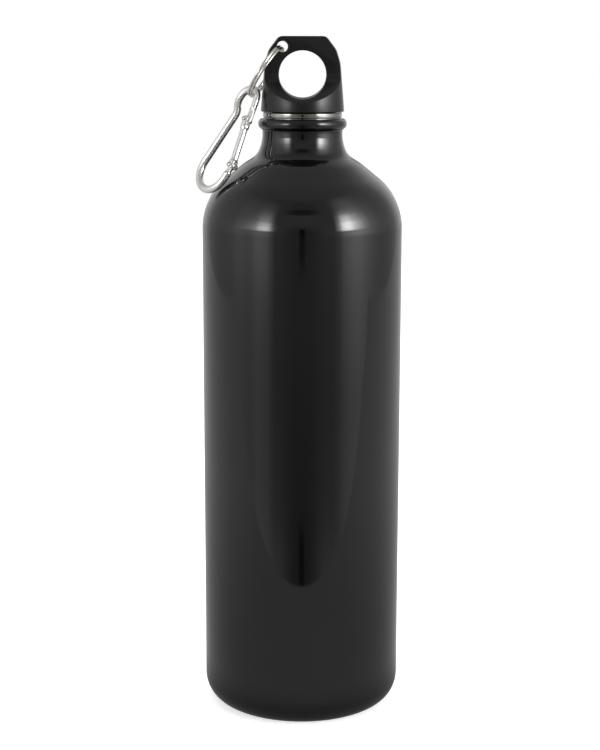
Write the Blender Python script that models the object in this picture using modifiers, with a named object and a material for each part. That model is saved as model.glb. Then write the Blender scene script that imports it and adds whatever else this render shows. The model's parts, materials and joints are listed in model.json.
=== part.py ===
"""Aluminium drinking bottle: drawn shell, thread insert, screw cap with a carrying hole, split ring and carabiner.

Lengths are in metres and angles are named in degrees. The origin is the centre of the base on the plane that the
bottle stands on, and +Z is up. The front is -Y, and the split ring and the carabiner hang at -X.
"""

import math

import bmesh
import bpy
import numpy as np
from mathutils import Matrix, Vector

# Fits between neighbours
CLEARANCE = 0.0003
OVERRUN = 0.002
WELD_DISTANCE = 0.000001

# Bottle shell
BODY_RADIUS = 0.0400
SHOULDER_CORNER_HEIGHT = 0.2098
SHOULDER_SLOPE = 37.4
SHOULDER_FILLET = 0.0250
NECK_RADIUS = 0.0159
NECK_FILLET = 0.0080
NECK_LENGTH = 0.0079
BEAD_STANDOUT = 0.0017
BEAD_HEIGHT = 0.0042
BEAD_EDGE = 0.0019
BEAD_ROOT_FILLET = 0.0006
WALL = 0.0010
FLOOR = 0.0016
BASE_ROUND_WIDTH = 0.0088
BASE_ROUND_HEIGHT = 0.0106
FOOT_WIDTH = 0.0040
DOME_HEIGHT = 0.0070

# Thread, shared by the insert and the plug
THREAD_PITCH = 0.0040
THREAD_RIDGE_RADIUS = 0.0008
THREAD_DEPTH = 0.0010
THREAD_TURNS = 1.75

# Thread insert
INSERT_WALL = 0.0011
INSERT_DEPTH = 0.0145
INSERT_THREAD_DROP = 0.0120
LIP_HEIGHT = 0.0020
LIP_STANDOUT = 0.0011
LIP_EDGE = 0.0004

# Cap: its foot stands out from the neck, insets run inward from the foot, and drops run down from the top
CAP_HEIGHT = 0.0293
CAP_STANDOUT = 0.0006
CAP_SIDE_INSET = 0.0015
CAP_SIDE_DROP = 0.0104
CAP_BROW_INSET = 0.0031
CAP_BROW_DROP = 0.0053
CAP_TOP_INSET = 0.0071
CAP_SIDE_FILLET = 0.0120
CAP_BROW_FILLET = 0.0060
CAP_TOP_EDGE = 0.0014
CAP_FOOT_EDGE = 0.0003
PLATE_THICKNESS = 0.0074
PLATE_TOP_THICKNESS = 0.0058
SCOOP_RIM_HEIGHT = 0.0037
SCOOP_SLOPE = 34.7
SCOOP_FILLET = 0.0050
LOOP_HOLE_FLOOR = 0.00505
LOOP_HOLE_BRIDGE = 0.00555
RING_HOLE_RADIUS = 0.00215
RING_HOLE_DROP = 0.0041
RING_HOLE_INSET = 0.00855
RING_HOLE_BEVEL = 0.0004

# Plug and seal
PLUG_DEPTH = 0.0139
PLUG_WALL = 0.0017
PLUG_HEAD_HEIGHT = 0.0034
PLUG_HEAD_STANDOUT = 0.0004
PLUG_CROWN = 0.0012
PLUG_EDGE = 0.0005
SEAL_THICKNESS = 0.0015
SEAL_WIDTH = 0.0028

# Split ring
RING_WIRE_RADIUS = 0.00035
RING_MEAN_RADIUS = 0.0113
RING_COIL_GAP = 0.00042
RING_HANG = 0.00035
RING_SIDE_SHIFT = 0.00015
RING_LEAN = 33.0
RING_TURN = 9.5
RING_JOGGLE_START = 60.0
RING_JOGGLE_SWEEP = 30.0
RING_TURNS = 2

# Carabiner, measured in its own plane from the centre of its head arc
BAR_RADIUS = 0.0015
HEAD_RADIUS = 0.0053
HEEL_RADIUS = 0.0084
HEEL_DROP = 0.0299
HEEL_SHIFT = 0.00156
SPINE_SLANT = 16.6
WAIST_RADIUS = 0.0040
HEEL_END_ANGLE = 15.0
NOSE_START_ANGLE = 5.0
NOSE_LENGTH = 0.0046
NOSE_RADIUS = 0.00125
BLADE_THICKNESS = 0.0012
BLADE_WIDTH = 0.0030
BLADE_START = 0.0030
BLADE_LENGTH = 0.0060
PIVOT_RISE = 0.0056
TONGUE_WIDTH = 0.0025
TONGUE_TIP = 0.0010
TONGUE_GRIP = 0.0030
BAR_END_TO_PIVOT = 0.0028
CARABINER_TURN = 52.4
CARABINER_FORWARD_LEAN = 12.4
HOOK_SHIFT = 0.0005
ROLL_SHIFT = 0.00025

# Gate
GATE_RADIUS = 0.0014
FORK_RADIUS = 0.00175
LATCH_DROP = 0.0079
LATCH_INSET = 0.00115
FORK_LENGTH = 0.0048
FORK_TAIL = 0.0017
FORK_SLOT_CLEARANCE = 0.00035
TAIL_SLOT_DEPTH = 0.0022
PIN_RADIUS = 0.0005
PIN_HEAD_RADIUS = 0.0008
RIVET_HEAD_RADIUS = 0.0010
PIN_HEAD_HEIGHT = 0.0004
PIN_TO_TIP = 0.0016

# Spring and plunger in the gate
BORE_RADIUS = 0.00085
PLUNGER_RADIUS = 0.00055
PLUNGER_LENGTH = 0.0023
PLUNGER_EDGE = 0.0003
PLUNGER_TRAVEL = 0.0003
SPRING_WIRE_RADIUS = 0.00015
SPRING_PITCH = 0.00078
SPRING_CURLS = 9

# Facets
BODY_FACETS = 48
SMALL_FACETS = 16
HOLE_FACETS = 40
ARC_SAG = 0.00006
THREAD_POINTS = 24
RING_POINTS = 30
SPRING_POINTS = 9

OBJECT_NAME = "aluminum_water_bottle"
CARABINER_TOOLS = ("hinge_tongue", "nose_blade", "tongue_hole", "latch_notch")


def clear_scene():
    for item in list(bpy.data.objects):
        bpy.data.objects.remove(item, do_unlink=True)


def new_collection(name):
    collection = bpy.data.collections.new(name)
    bpy.context.scene.collection.children.link(collection)
    return collection


def material(name, red, green, blue, metallic, roughness):
    made = bpy.data.materials.new(name)
    made.use_nodes = True
    shader = made.node_tree.nodes["Principled BSDF"]
    shader.inputs["Base Color"].default_value = (red, green, blue, 1.0)
    shader.inputs["Metallic"].default_value = metallic
    shader.inputs["Roughness"].default_value = roughness
    made.diffuse_color = (red, green, blue, 1.0)
    return made


def arc_count(radius, sweep):
    """How many straight pieces an arc needs to stay within the allowed sag, its sweep in radians."""
    step = 2 * math.acos(max(1 - ARC_SAG / radius, 0))
    return max(1, math.ceil(abs(sweep) / step))


def rounded(corners, closed=False):
    """The points of an outline whose corners, given as (x, y, radius), are turned into arcs."""
    points = []
    for i, (x, y, radius) in enumerate(corners):
        here = Vector((x, y))
        at_end = not closed and i in (0, len(corners) - 1)
        if at_end or radius == 0:
            points.append(here)
            continue
        back = (Vector(corners[i - 1][:2]) - here).normalized()
        ahead = (Vector(corners[(i + 1) % len(corners)][:2]) - here).normalized()
        half = back.angle(ahead) / 2
        centre = here + (back + ahead).normalized() * radius / math.sin(half)
        start = here + back * radius / math.tan(half) - centre
        sweep = math.copysign(math.pi - 2 * half, -back.cross(ahead))
        count = arc_count(radius, sweep)
        for k in range(count + 1):
            points.append(centre + Matrix.Rotation(sweep * k / count, 2) @ start)
    return points


def arc(centre, radius, start, sweep):
    """Points on an arc from the angle start through sweep, both in degrees and counted from +X towards +Y."""
    count = arc_count(radius, math.radians(sweep))
    angles = [math.radians(start + sweep * k / count) for k in range(count + 1)]
    return [Vector((centre[0] + radius * math.cos(a), centre[1] + radius * math.sin(a))) for a in angles]


def smooth(mesh):
    mesh.shade_smooth()
    mesh.set_sharp_from_angle(angle=math.radians(30))


def turned(name, outline, collection, facets=BODY_FACETS, closed=False):
    """A solid turned about its own Z axis from (radius, height) points that run down its outer side."""
    mesh = bpy.data.meshes.new(name)
    edges = [(i, i + 1) for i in range(len(outline) - 1)]
    if closed:
        edges.append((len(outline) - 1, 0))
    mesh.from_pydata([(r, 0, z) for r, z in outline], edges, [])
    item = bpy.data.objects.new(name, mesh)
    collection.objects.link(item)
    screw = item.modifiers.new("Turn", "SCREW")
    screw.steps = facets
    screw.render_steps = facets
    screw.use_merge_vertices = True
    screw.merge_threshold = WELD_DISTANCE
    screw.use_smooth_shade = True
    return item


def tube(name, points, radius, collection, resolution=2, widths=None):
    """A round bar or wire along 3D points, with closed ends; widths are shares of its radius at each point."""
    curve = bpy.data.curves.new(name, "CURVE")
    curve.dimensions = "3D"
    curve.bevel_depth = radius
    curve.bevel_resolution = resolution
    curve.use_fill_caps = True
    spline = curve.splines.new("POLY")
    spline.points.add(len(points) - 1)
    for i, point in enumerate(points):
        spline.points[i].co = (*point, 1)
        if widths:
            spline.points[i].radius = widths[i]
    item = bpy.data.objects.new(name, curve)
    collection.objects.link(item)
    return item


def flat_plate(name, outline, thickness, collection):
    """A flat outline in the XY plane, extruded half its thickness to each side."""
    curve = bpy.data.curves.new(name, "CURVE")
    curve.dimensions = "2D"
    curve.fill_mode = "BOTH"
    curve.extrude = thickness / 2
    spline = curve.splines.new("POLY")
    spline.points.add(len(outline) - 1)
    for i, (x, y) in enumerate(outline):
        spline.points[i].co = (x, y, 0, 1)
    spline.use_cyclic_u = True
    item = bpy.data.objects.new(name, curve)
    collection.objects.link(item)
    return item


def made_mesh(item):
    """The curve object turned into a closed mesh object of the same name and place."""
    bpy.context.view_layer.update()
    evaluated = item.evaluated_get(bpy.context.evaluated_depsgraph_get())
    mesh = bpy.data.meshes.new_from_object(evaluated)
    body = bmesh.new()
    body.from_mesh(mesh)
    bmesh.ops.remove_doubles(body, verts=body.verts, dist=WELD_DISTANCE)
    bmesh.ops.recalc_face_normals(body, faces=body.faces)
    body.to_mesh(mesh)
    body.free()
    smooth(mesh)
    name = item.name
    collection = item.users_collection[0]
    matrix = item.matrix_world.copy()
    bpy.data.objects.remove(item, do_unlink=True)
    made = bpy.data.objects.new(name, mesh)
    made.matrix_world = matrix
    collection.objects.link(made)
    return made


def cylinder(name, radius, depth, matrix, collection, facets=SMALL_FACETS):
    """A cylinder along the Z axis of its matrix, centred on it."""
    bpy.ops.mesh.primitive_cylinder_add(vertices=facets, radius=radius, depth=depth)
    item = bpy.context.active_object
    item.name = name
    item.matrix_world = matrix
    for owner in list(item.users_collection):
        owner.objects.unlink(item)
    collection.objects.link(item)
    return item


def block(name, size, matrix, collection):
    """A box of the given size, centred on its matrix."""
    bpy.ops.mesh.primitive_cube_add(size=1)
    item = bpy.context.active_object
    item.name = name
    item.data.transform(Matrix.Diagonal((*size, 1)))
    item.matrix_world = matrix
    for owner in list(item.users_collection):
        owner.objects.unlink(item)
    collection.objects.link(item)
    return item


def combine(item, tool, operation):
    """Cuts the tool out of the item, or joins it to the item, with a Boolean that stays on the item."""
    tool.hide_render = True
    tool.display_type = "WIRE"
    step = item.modifiers.new(tool.name, "BOOLEAN")
    step.operation = operation
    step.solver = "EXACT"
    step.object = tool


def pivot(name, matrix, collection, parent=None):
    """An empty on a joint's axis, for the pieces that move about it."""
    item = bpy.data.objects.new(name, None)
    item.empty_display_size = CAP_FOOT_RADIUS / 2
    collection.objects.link(item)
    item.matrix_world = matrix
    if parent:
        carry(item, parent)
    return item


def carry(item, parent):
    bpy.context.view_layer.update()
    item.parent = parent
    item.matrix_parent_inverse = parent.matrix_world.inverted()


def helix(radius, pitch, turns, base, points_a_turn):
    """Points of a right-handed helix that climbs from the height base, starting at +X."""
    count = round(turns * points_a_turn)
    angles = [2 * math.pi * k / points_a_turn for k in range(count + 1)]
    return [(radius * math.cos(a), radius * math.sin(a), base + pitch * a / (2 * math.pi)) for a in angles]


# Heights and radii that follow from the driving sizes
SLOPE = math.radians(SHOULDER_SLOPE)
NECK_CORNER_HEIGHT = SHOULDER_CORNER_HEIGHT + math.tan(SLOPE) * (BODY_RADIUS - NECK_RADIUS)
BEAD_BASE = NECK_CORNER_HEIGHT + NECK_LENGTH
BEAD_TOP = BEAD_BASE + BEAD_HEIGHT
BORE_OF_NECK = NECK_RADIUS - WALL
LIP_BASE = BEAD_TOP + CLEARANCE
LIP_TOP = LIP_BASE + LIP_HEIGHT
CAP_BASE = LIP_TOP + CLEARANCE
CAP_TOP = CAP_BASE + CAP_HEIGHT
INSERT_RADIUS = BORE_OF_NECK - CLEARANCE
INSERT_BORE = INSERT_RADIUS - INSERT_WALL
LIP_RADIUS = INSERT_RADIUS + LIP_STANDOUT
INSERT_RIDGE_LINE = INSERT_BORE + THREAD_RIDGE_RADIUS - THREAD_DEPTH
PLUG_RIDGE_LINE = INSERT_RIDGE_LINE - THREAD_DEPTH
PLUG_RADIUS = PLUG_RIDGE_LINE + THREAD_RIDGE_RADIUS - THREAD_DEPTH
SEAL_TOP = CAP_BASE + SEAL_THICKNESS
SEAL_CEILING = SEAL_TOP + CLEARANCE
SEAL_INNER_RADIUS = PLUG_RADIUS + CLEARANCE
SEAL_OUTER_RADIUS = SEAL_INNER_RADIUS + SEAL_WIDTH
CAP_FOOT_RADIUS = NECK_RADIUS + CAP_STANDOUT
LOOP_HOLE_RADIUS = (CAP_HEIGHT - LOOP_HOLE_FLOOR - LOOP_HOLE_BRIDGE) / 2
PLUG_TOP = CAP_BASE + PLUG_HEAD_HEIGHT
PLUG_HEAD_RADIUS = PLUG_RADIUS + PLUG_HEAD_STANDOUT


def shell_outside():
    """The shell's outer side from the mouth down to the middle of its underside, as (radius, height) points."""
    bead_radius = NECK_RADIUS + BEAD_STANDOUT
    side = rounded([
        (BORE_OF_NECK, BEAD_TOP, 0),
        (bead_radius, BEAD_TOP, BEAD_EDGE),
        (bead_radius, BEAD_BASE, BEAD_EDGE),
        (NECK_RADIUS, BEAD_BASE, BEAD_ROOT_FILLET),
        (NECK_RADIUS, NECK_CORNER_HEIGHT, NECK_FILLET),
        (BODY_RADIUS, SHOULDER_CORNER_HEIGHT, SHOULDER_FILLET),
        (BODY_RADIUS, BASE_ROUND_HEIGHT, 0),
    ])
    foot_radius = BODY_RADIUS - BASE_ROUND_WIDTH
    base = base_round(BASE_ROUND_WIDTH, BASE_ROUND_HEIGHT)[1:]
    return side + base + underside(foot_radius - FOOT_WIDTH, DOME_HEIGHT, 0)


def base_round(wide, tall):
    """A quarter of an ellipse from the side down to the foot, around the outer edge of the foot."""
    foot_radius = BODY_RADIUS - BASE_ROUND_WIDTH
    quarter = arc((0, 0), tall, 0, -90)
    return [(foot_radius + x * wide / tall, BASE_ROUND_HEIGHT + y) for x, y in quarter]


def underside(radius, height, lift):
    """The domed middle of the base, from its rim to the axis, lifted above the ground by lift."""
    shares = [1, 0.85, 0.65, 0.4, 0]
    return [(radius * share, lift + height * (1 - share * share)) for share in shares]


def shell_inside():
    """The shell's inner side from the middle of the floor up to the mouth."""
    inner = BODY_RADIUS - WALL
    drop = WALL * math.cos(SLOPE)
    inward = WALL * math.sin(SLOPE)
    start = SHOULDER_CORNER_HEIGHT - drop

    def cone_height(radius):
        return start + math.tan(SLOPE) * (BODY_RADIUS - inward - radius)

    foot_radius = BODY_RADIUS - BASE_ROUND_WIDTH
    floor = underside(foot_radius - FOOT_WIDTH, DOME_HEIGHT, FLOOR)[::-1]
    corner = base_round(BASE_ROUND_WIDTH - WALL, BASE_ROUND_HEIGHT - FLOOR)[::-1]
    side = rounded([
        (inner, BASE_ROUND_HEIGHT, 0),
        (inner, cone_height(inner), SHOULDER_FILLET - WALL),
        (BORE_OF_NECK, cone_height(BORE_OF_NECK), NECK_FILLET + WALL),
        (BORE_OF_NECK, BEAD_TOP, 0),
    ])
    return floor + corner + side[1:-1]


def build_shell(parts):
    item = turned("bottle_shell", shell_inside() + shell_outside(), parts)
    item.data.materials.append(material("black lacquer", 0.012, 0.012, 0.013, 0.0, 0.08))
    return item


def build_insert(parts, cutters):
    floor = LIP_BASE - INSERT_DEPTH
    outline = rounded([
        (LIP_RADIUS, LIP_TOP, LIP_EDGE),
        (LIP_RADIUS, LIP_BASE, LIP_EDGE),
        (INSERT_RADIUS, LIP_BASE, 0),
        (INSERT_RADIUS, floor, 0),
        (INSERT_BORE, floor, 0),
        (INSERT_BORE, LIP_TOP, LIP_EDGE),
    ], closed=True)
    item = turned("neck_thread_ring", outline, parts, closed=True)
    item.data.materials.append(material("bare aluminium", 0.72, 0.72, 0.71, 1.0, 0.28))
    base = LIP_BASE - INSERT_THREAD_DROP
    points = helix(INSERT_RIDGE_LINE, THREAD_PITCH, THREAD_TURNS, base, THREAD_POINTS)
    ridge = made_mesh(tube("insert_thread", points, THREAD_RIDGE_RADIUS, cutters))
    combine(item, ridge, "UNION")
    return item


def cap_outline():
    """The cap's outer side from the middle of its top down to its lower edge."""
    return rounded([
        (0, CAP_TOP, 0),
        (CAP_FOOT_RADIUS - CAP_TOP_INSET, CAP_TOP, CAP_TOP_EDGE),
        (CAP_FOOT_RADIUS - CAP_BROW_INSET, CAP_TOP - CAP_BROW_DROP, CAP_BROW_FILLET),
        (CAP_FOOT_RADIUS - CAP_SIDE_INSET, CAP_TOP - CAP_SIDE_DROP, CAP_SIDE_FILLET),
        (CAP_FOOT_RADIUS, CAP_BASE + CAP_FOOT_EDGE, 0),
        (CAP_FOOT_RADIUS - CAP_FOOT_EDGE, CAP_BASE, 0),
    ])


def scoop_cutter(side, cutters):
    """What is cut off one side of the turned cap, so that a flat plate stands on a sloping shoulder."""
    slope = math.tan(math.radians(SCOOP_SLOPE))
    top = CAP_TOP + OVERRUN
    rim = CAP_BASE + SCOOP_RIM_HEIGHT
    far = CAP_FOOT_RADIUS + OVERRUN
    foot_half = PLATE_THICKNESS / 2
    foot = rim + slope * (CAP_FOOT_RADIUS - foot_half)
    draft = (PLATE_THICKNESS - PLATE_TOP_THICKNESS) / 2 / (CAP_TOP - foot)
    top_half = foot_half - draft * (top - foot)
    outline = rounded([
        (far, rim - slope * OVERRUN, 0),
        (far, top, 0),
        (top_half, top, 0),
        (foot_half, foot, SCOOP_FILLET),
    ], closed=True)
    cutter = flat_plate(f"scoop_{side}", outline, 2 * far, cutters)
    turn = Matrix.Rotation(math.radians(side * 90), 4, "Z")
    cutter.matrix_world = turn @ Matrix.Rotation(math.radians(90), 4, "X")
    return made_mesh(cutter)


def build_cap(parts, cutters):
    recess = SEAL_OUTER_RADIUS + CLEARANCE
    seat = PLUG_HEAD_RADIUS + CLEARANCE
    inside = [
        (recess, CAP_BASE),
        (recess, SEAL_CEILING),
        (seat, SEAL_CEILING),
        (seat, PLUG_TOP + CLEARANCE),
        (0, PLUG_TOP + CLEARANCE),
    ]
    item = turned("cap_body", cap_outline() + inside, parts)
    item.data.materials.append(material("satin black plastic", 0.016, 0.016, 0.017, 0.0, 0.42))
    for side in (-1, 1):
        combine(item, scoop_cutter(side, cutters), "DIFFERENCE")
    length = 2 * (CAP_FOOT_RADIUS + OVERRUN)
    lying = Matrix.Rotation(math.radians(90), 4, "X")
    loop_place = Matrix.Translation((0, 0, CAP_BASE + LOOP_HOLE_FLOOR + LOOP_HOLE_RADIUS)) @ lying
    loop_hole = cylinder("loop_hole", LOOP_HOLE_RADIUS, length, loop_place, cutters, HOLE_FACETS)
    combine(item, loop_hole, "DIFFERENCE")
    face = PLATE_TOP_THICKNESS / 2
    flare = RING_HOLE_RADIUS + RING_HOLE_BEVEL
    far = face + OVERRUN
    hole_outline = [
        (0, far),
        (flare + OVERRUN, far),
        (flare, face),
        (RING_HOLE_RADIUS, face - RING_HOLE_BEVEL),
        (RING_HOLE_RADIUS, RING_HOLE_BEVEL - face),
        (flare, -face),
        (flare + OVERRUN, -far),
        (0, -far),
    ]
    ring_hole = turned("ring_hole", hole_outline, cutters, SMALL_FACETS)
    ring_hole.matrix_world = Matrix.Translation(ring_hole_centre()) @ lying
    combine(item, ring_hole, "DIFFERENCE")
    return item


def ring_hole_centre():
    return Vector((RING_HOLE_INSET - CAP_FOOT_RADIUS, 0, CAP_TOP - RING_HOLE_DROP))


def build_plug(parts, cutters):
    floor = CAP_BASE - PLUG_DEPTH
    bore = PLUG_RADIUS - PLUG_WALL
    outline = rounded([
        (0, PLUG_TOP, 0),
        (PLUG_HEAD_RADIUS, PLUG_TOP, 0),
        (PLUG_HEAD_RADIUS, SEAL_CEILING, 0),
        (PLUG_RADIUS, SEAL_CEILING, 0),
        (PLUG_RADIUS, floor, PLUG_EDGE),
        (bore, floor, PLUG_EDGE),
        (bore, PLUG_TOP - PLUG_CROWN, PLUG_WALL),
        (0, PLUG_TOP - PLUG_CROWN, 0),
    ])
    item = turned("cap_plug", outline, parts)
    item.data.materials.append(material("black plastic", 0.02, 0.02, 0.021, 0.0, 0.5))
    base = LIP_BASE - INSERT_THREAD_DROP + THREAD_PITCH / 2
    points = helix(PLUG_RIDGE_LINE, THREAD_PITCH, THREAD_TURNS, base, THREAD_POINTS)
    ridge = made_mesh(tube("plug_thread", points, THREAD_RIDGE_RADIUS, cutters))
    combine(item, ridge, "UNION")
    return item


def build_seal(parts):
    outline = [
        (SEAL_OUTER_RADIUS, SEAL_TOP),
        (SEAL_OUTER_RADIUS, CAP_BASE),
        (SEAL_INNER_RADIUS, CAP_BASE),
        (SEAL_INNER_RADIUS, SEAL_TOP),
    ]
    item = turned("cap_seal", outline, parts, closed=True)
    item.data.materials.append(material("white silicone", 0.75, 0.75, 0.72, 0.0, 0.6))
    return item


def ring_axes():
    """The split ring's directions: from its hole towards its far side, along its wire there, and its plane's normal."""
    lean = math.radians(RING_LEAN)
    turn = math.radians(RING_TURN)
    hang = Vector((-math.sin(lean), 0, -math.cos(lean)))
    across = Vector((math.cos(lean), 0, -math.sin(lean)))
    along = Vector((0, 1, 0)) * math.cos(turn) + across * math.sin(turn)
    return hang, along, hang.cross(along)


def ring_centre():
    hang, _, _ = ring_axes()
    across = Vector((-hang.z, 0, hang.x))
    return ring_hole_centre() + hang * (RING_HANG + RING_MEAN_RADIUS) - across * RING_SIDE_SHIFT


def ring_low_point():
    """The middle of the two coils at the ring's far side, where the carabiner hangs."""
    hang, _, _ = ring_axes()
    return ring_centre() + hang * RING_MEAN_RADIUS


def coil_offset():
    """How far each coil's centre line stands from the middle of the ring."""
    return RING_WIRE_RADIUS + RING_COIL_GAP / 2


def ring_points():
    """Two flat coils side by side, joined by one joggle: an unbroken wire with its ends at the joggle."""
    hang, along, normal = ring_axes()
    half = coil_offset()
    sweep = 360 * RING_TURNS - RING_JOGGLE_SWEEP
    count = round(RING_POINTS * sweep / 360)
    points = []
    for k in range(count + 1):
        angle = sweep * k / count
        share = min(max((angle - (360 - RING_JOGGLE_SWEEP)) / RING_JOGGLE_SWEEP, 0), 1)
        side = half * (2 * share * share * (3 - 2 * share) - 1)
        around = math.radians(RING_JOGGLE_START + angle)
        flat = along * math.sin(around) - hang * math.cos(around)
        points.append(ring_centre() + flat * RING_MEAN_RADIUS + normal * side)
    return points


def least_gap(points, radius, skip):
    """The least gap of a wound wire to itself, leaving out neighbours closer than skip points."""
    places = np.array([tuple(p) for p in points])
    starts, ends = places[:-1], places[1:]
    samples = np.concatenate([starts, (starts + ends) / 2, ends])
    order = np.concatenate([np.arange(len(starts)), np.arange(len(starts)) + 0.5, np.arange(len(starts)) + 1])
    apart = np.linalg.norm(samples[:, None] - samples[None], axis=2)
    far = np.abs(order[:, None] - order[None]) > skip
    return apart[far].min() - 2 * radius


def build_ring(parts, parent):
    points = ring_points()
    origin = parent.matrix_world.translation
    item = tube("split_ring", [p - origin for p in points], RING_WIRE_RADIUS, parts)
    item.data.materials.append(material("nickel plated spring steel", 0.78, 0.77, 0.75, 1.0, 0.18))
    item.location = origin
    carry(item, parent)
    print("least gap of split_ring to itself, mm:", round(least_gap(points, RING_WIRE_RADIUS, 6) * 1000, 3))
    return item


def unit(degrees):
    """The unit vector that stands at an angle from the carabiner's upward axis, positive to the spine's side."""
    return Vector((-math.sin(math.radians(degrees)), math.cos(math.radians(degrees))))


def heel_centre():
    return Vector((-HEEL_SHIFT, -HEEL_DROP))


def heel_end():
    angle = math.radians(-HEEL_END_ANGLE)
    return heel_centre() + Vector((math.cos(angle), math.sin(angle))) * HEEL_RADIUS


def gate_pivot():
    return heel_end() + unit(-HEEL_END_ANGLE) * PIVOT_RISE


def frame_line():
    """The bar's centre line in the carabiner's plane, from the nose over the head and down the spine to the hinge."""
    spine_up = unit(-SPINE_SLANT)
    outward = Vector((-spine_up.y, spine_up.x))
    spine_low = heel_centre() + outward * HEEL_RADIUS
    offset = (spine_low + outward * WAIST_RADIUS).dot(outward)
    along = math.sqrt((HEAD_RADIUS + WAIST_RADIUS) ** 2 - offset ** 2)
    waist = outward * offset - spine_up * along
    waist_angle = math.degrees(math.atan2(waist.y, waist.x)) % 360
    spine_angle = math.degrees(math.atan2(outward.y, outward.x)) % 360
    nose_top, nose_way = nose_frame()
    head = arc((0, 0), HEAD_RADIUS, NOSE_START_ANGLE, waist_angle - NOSE_START_ANGLE)
    bend = arc(waist, WAIST_RADIUS, waist_angle - 180, spine_angle - waist_angle)
    heel = arc(heel_centre(), HEEL_RADIUS, spine_angle, 360 - HEEL_END_ANGLE - spine_angle)
    end = gate_pivot() - unit(-HEEL_END_ANGLE) * BAR_END_TO_PIVOT
    return [nose_top + nose_way * NOSE_LENGTH] + head + bend[1:] + heel + [end]


def nose_frame():
    """The nose's top and its downward direction, for the blade at its end."""
    angle = math.radians(NOSE_START_ANGLE)
    top = Vector((math.cos(angle), math.sin(angle))) * HEAD_RADIUS
    return top, unit(180 + NOSE_START_ANGLE)


def latch_point():
    """The middle of the latch pin, beside the nose's inner edge."""
    top, down = nose_frame()
    return top + down * LATCH_DROP - Vector((-down.y, down.x)) * LATCH_INSET


def gate_way():
    return (latch_point() - gate_pivot()).normalized()


def gate_length():
    """The gate from its pivot to its tip."""
    return (latch_point() - gate_pivot()).length + PIN_TO_TIP


def gate_point(distance, side=0):
    """A point in the carabiner's plane at a distance up the gate from its pivot, and to its outer side."""
    up = gate_way()
    return gate_pivot() + up * distance + Vector((up.y, -up.x)) * side


def flat_in_space(point, height=0):
    return Vector((point.x, point.y, height))


def gate_matrix(distance, turned_about_y=False):
    """A place on the gate's centre line: X across it, Y up along it, Z along the carabiner's normal."""
    up = gate_way()
    across = Vector((up.y, -up.x))
    place = gate_point(distance)
    matrix = Matrix(((across.x, up.x, 0, place.x), (across.y, up.y, 0, place.y), (0, 0, 1, 0), (0, 0, 0, 1)))
    if turned_about_y:
        matrix = matrix @ Matrix.Rotation(math.radians(-90), 4, "X")
    return matrix


def carabiner_turning(swing):
    """The carabiner's rotation at a swing angle in radians: hanging, turned, leant forward and swung outward."""
    upright = Matrix(((1, 0, 0), (0, 0, -1), (0, 1, 0)))
    turn = Matrix.Rotation(math.radians(-CARABINER_TURN), 3, "Z")
    forward = Matrix.Rotation(math.radians(-CARABINER_FORWARD_LEAN), 3, "X")
    return Matrix.Rotation(swing, 3, "Y") @ forward @ turn @ upright


def carabiner_place(swing):
    """The carabiner's matrix at a swing angle, with the top of its head arc hooked over both coils of the ring."""
    rotation = carabiner_turning(swing)
    normal = rotation.col[2]
    upward = Vector((0, 0, 1)) - normal * normal.z
    start = ring_low_point() + Vector((HOOK_SHIFT, 0, BAR_RADIUS + RING_WIRE_RADIUS))
    start -= upward.normalized() * HEAD_RADIUS
    head = [rotation @ flat_in_space(p) for p in finer(frame_line()) if p.y > -HEAD_RADIUS]
    bar = np.array([tuple(start + p) for p in head])
    ring = np.array([tuple(p) for p in finer(ring_points())])
    rise = 0.0
    while rise < HEAD_RADIUS:
        apart = np.linalg.norm(bar[:, None] + (0, 0, rise) - ring[None], axis=2).min()
        if apart > BAR_RADIUS + RING_WIRE_RADIUS + CLEARANCE:
            break
        rise += CLEARANCE / 8
    return Matrix.Translation(start + Vector((0, 0, rise))) @ rotation.to_4x4()


def finer(line):
    """A centre line with three more points on each of its pieces."""
    return [a + (b - a) * k / 4 for a, b in zip(line, line[1:]) for k in range(4)] + line[-1:]


def outside_distance(points, outline):
    """How far points lie outside a turned outline, negative inside it."""
    radii = np.hypot(points[:, 0], points[:, 1])
    places = np.stack([radii, points[:, 2]], axis=1)
    ends = np.array([tuple(p) for p in outline])
    start, way = ends[:-1], ends[1:] - ends[:-1]
    share = ((places[:, None] - start) * way).sum(2) / np.maximum((way ** 2).sum(1), WELD_DISTANCE ** 2)
    nearest = start + np.clip(share, 0, 1)[..., None] * way
    apart = np.linalg.norm(places[:, None] - nearest, axis=2)
    pick = apart.argmin(1)
    side = way[pick, 0] * (places[:, 1] - start[pick, 1]) - way[pick, 1] * (places[:, 0] - start[pick, 0])
    return np.where(side > 0, 1, -1) * apart[np.arange(len(places)), pick]


def carabiner_rest_swing():
    """The least outward swing at which the carabiner's bar lies a clearance off the bottle and its cap."""
    bar = np.array([tuple(flat_in_space(p)) for p in finer(frame_line())])
    hinge = gate_pivot()
    reach = FORK_RADIUS + CLEARANCE + PIN_HEAD_HEIGHT
    heads = np.array([(hinge.x, hinge.y, -reach), (hinge.x, hinge.y, reach)])
    outlines = [shell_outside(), cap_outline()]

    def room(swing):
        matrix = np.array(carabiner_place(swing))
        spots = bar @ matrix[:3, :3].T + matrix[:3, 3]
        ends = heads @ matrix[:3, :3].T + matrix[:3, 3]
        bar_room = min(outside_distance(spots, line).min() for line in outlines) - BAR_RADIUS
        head_room = min(outside_distance(ends, line).min() for line in outlines) - PIN_HEAD_HEIGHT
        return min(bar_room, head_room) - CLEARANCE

    low, high = 0.0, 0.0
    while room(high) < 0 and high < math.pi / 2:
        low = high
        high += math.radians(1)
    for _ in range(30):
        middle = (low + high) / 2
        if room(middle) < 0:
            low = middle
        else:
            high = middle
    return high


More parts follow.
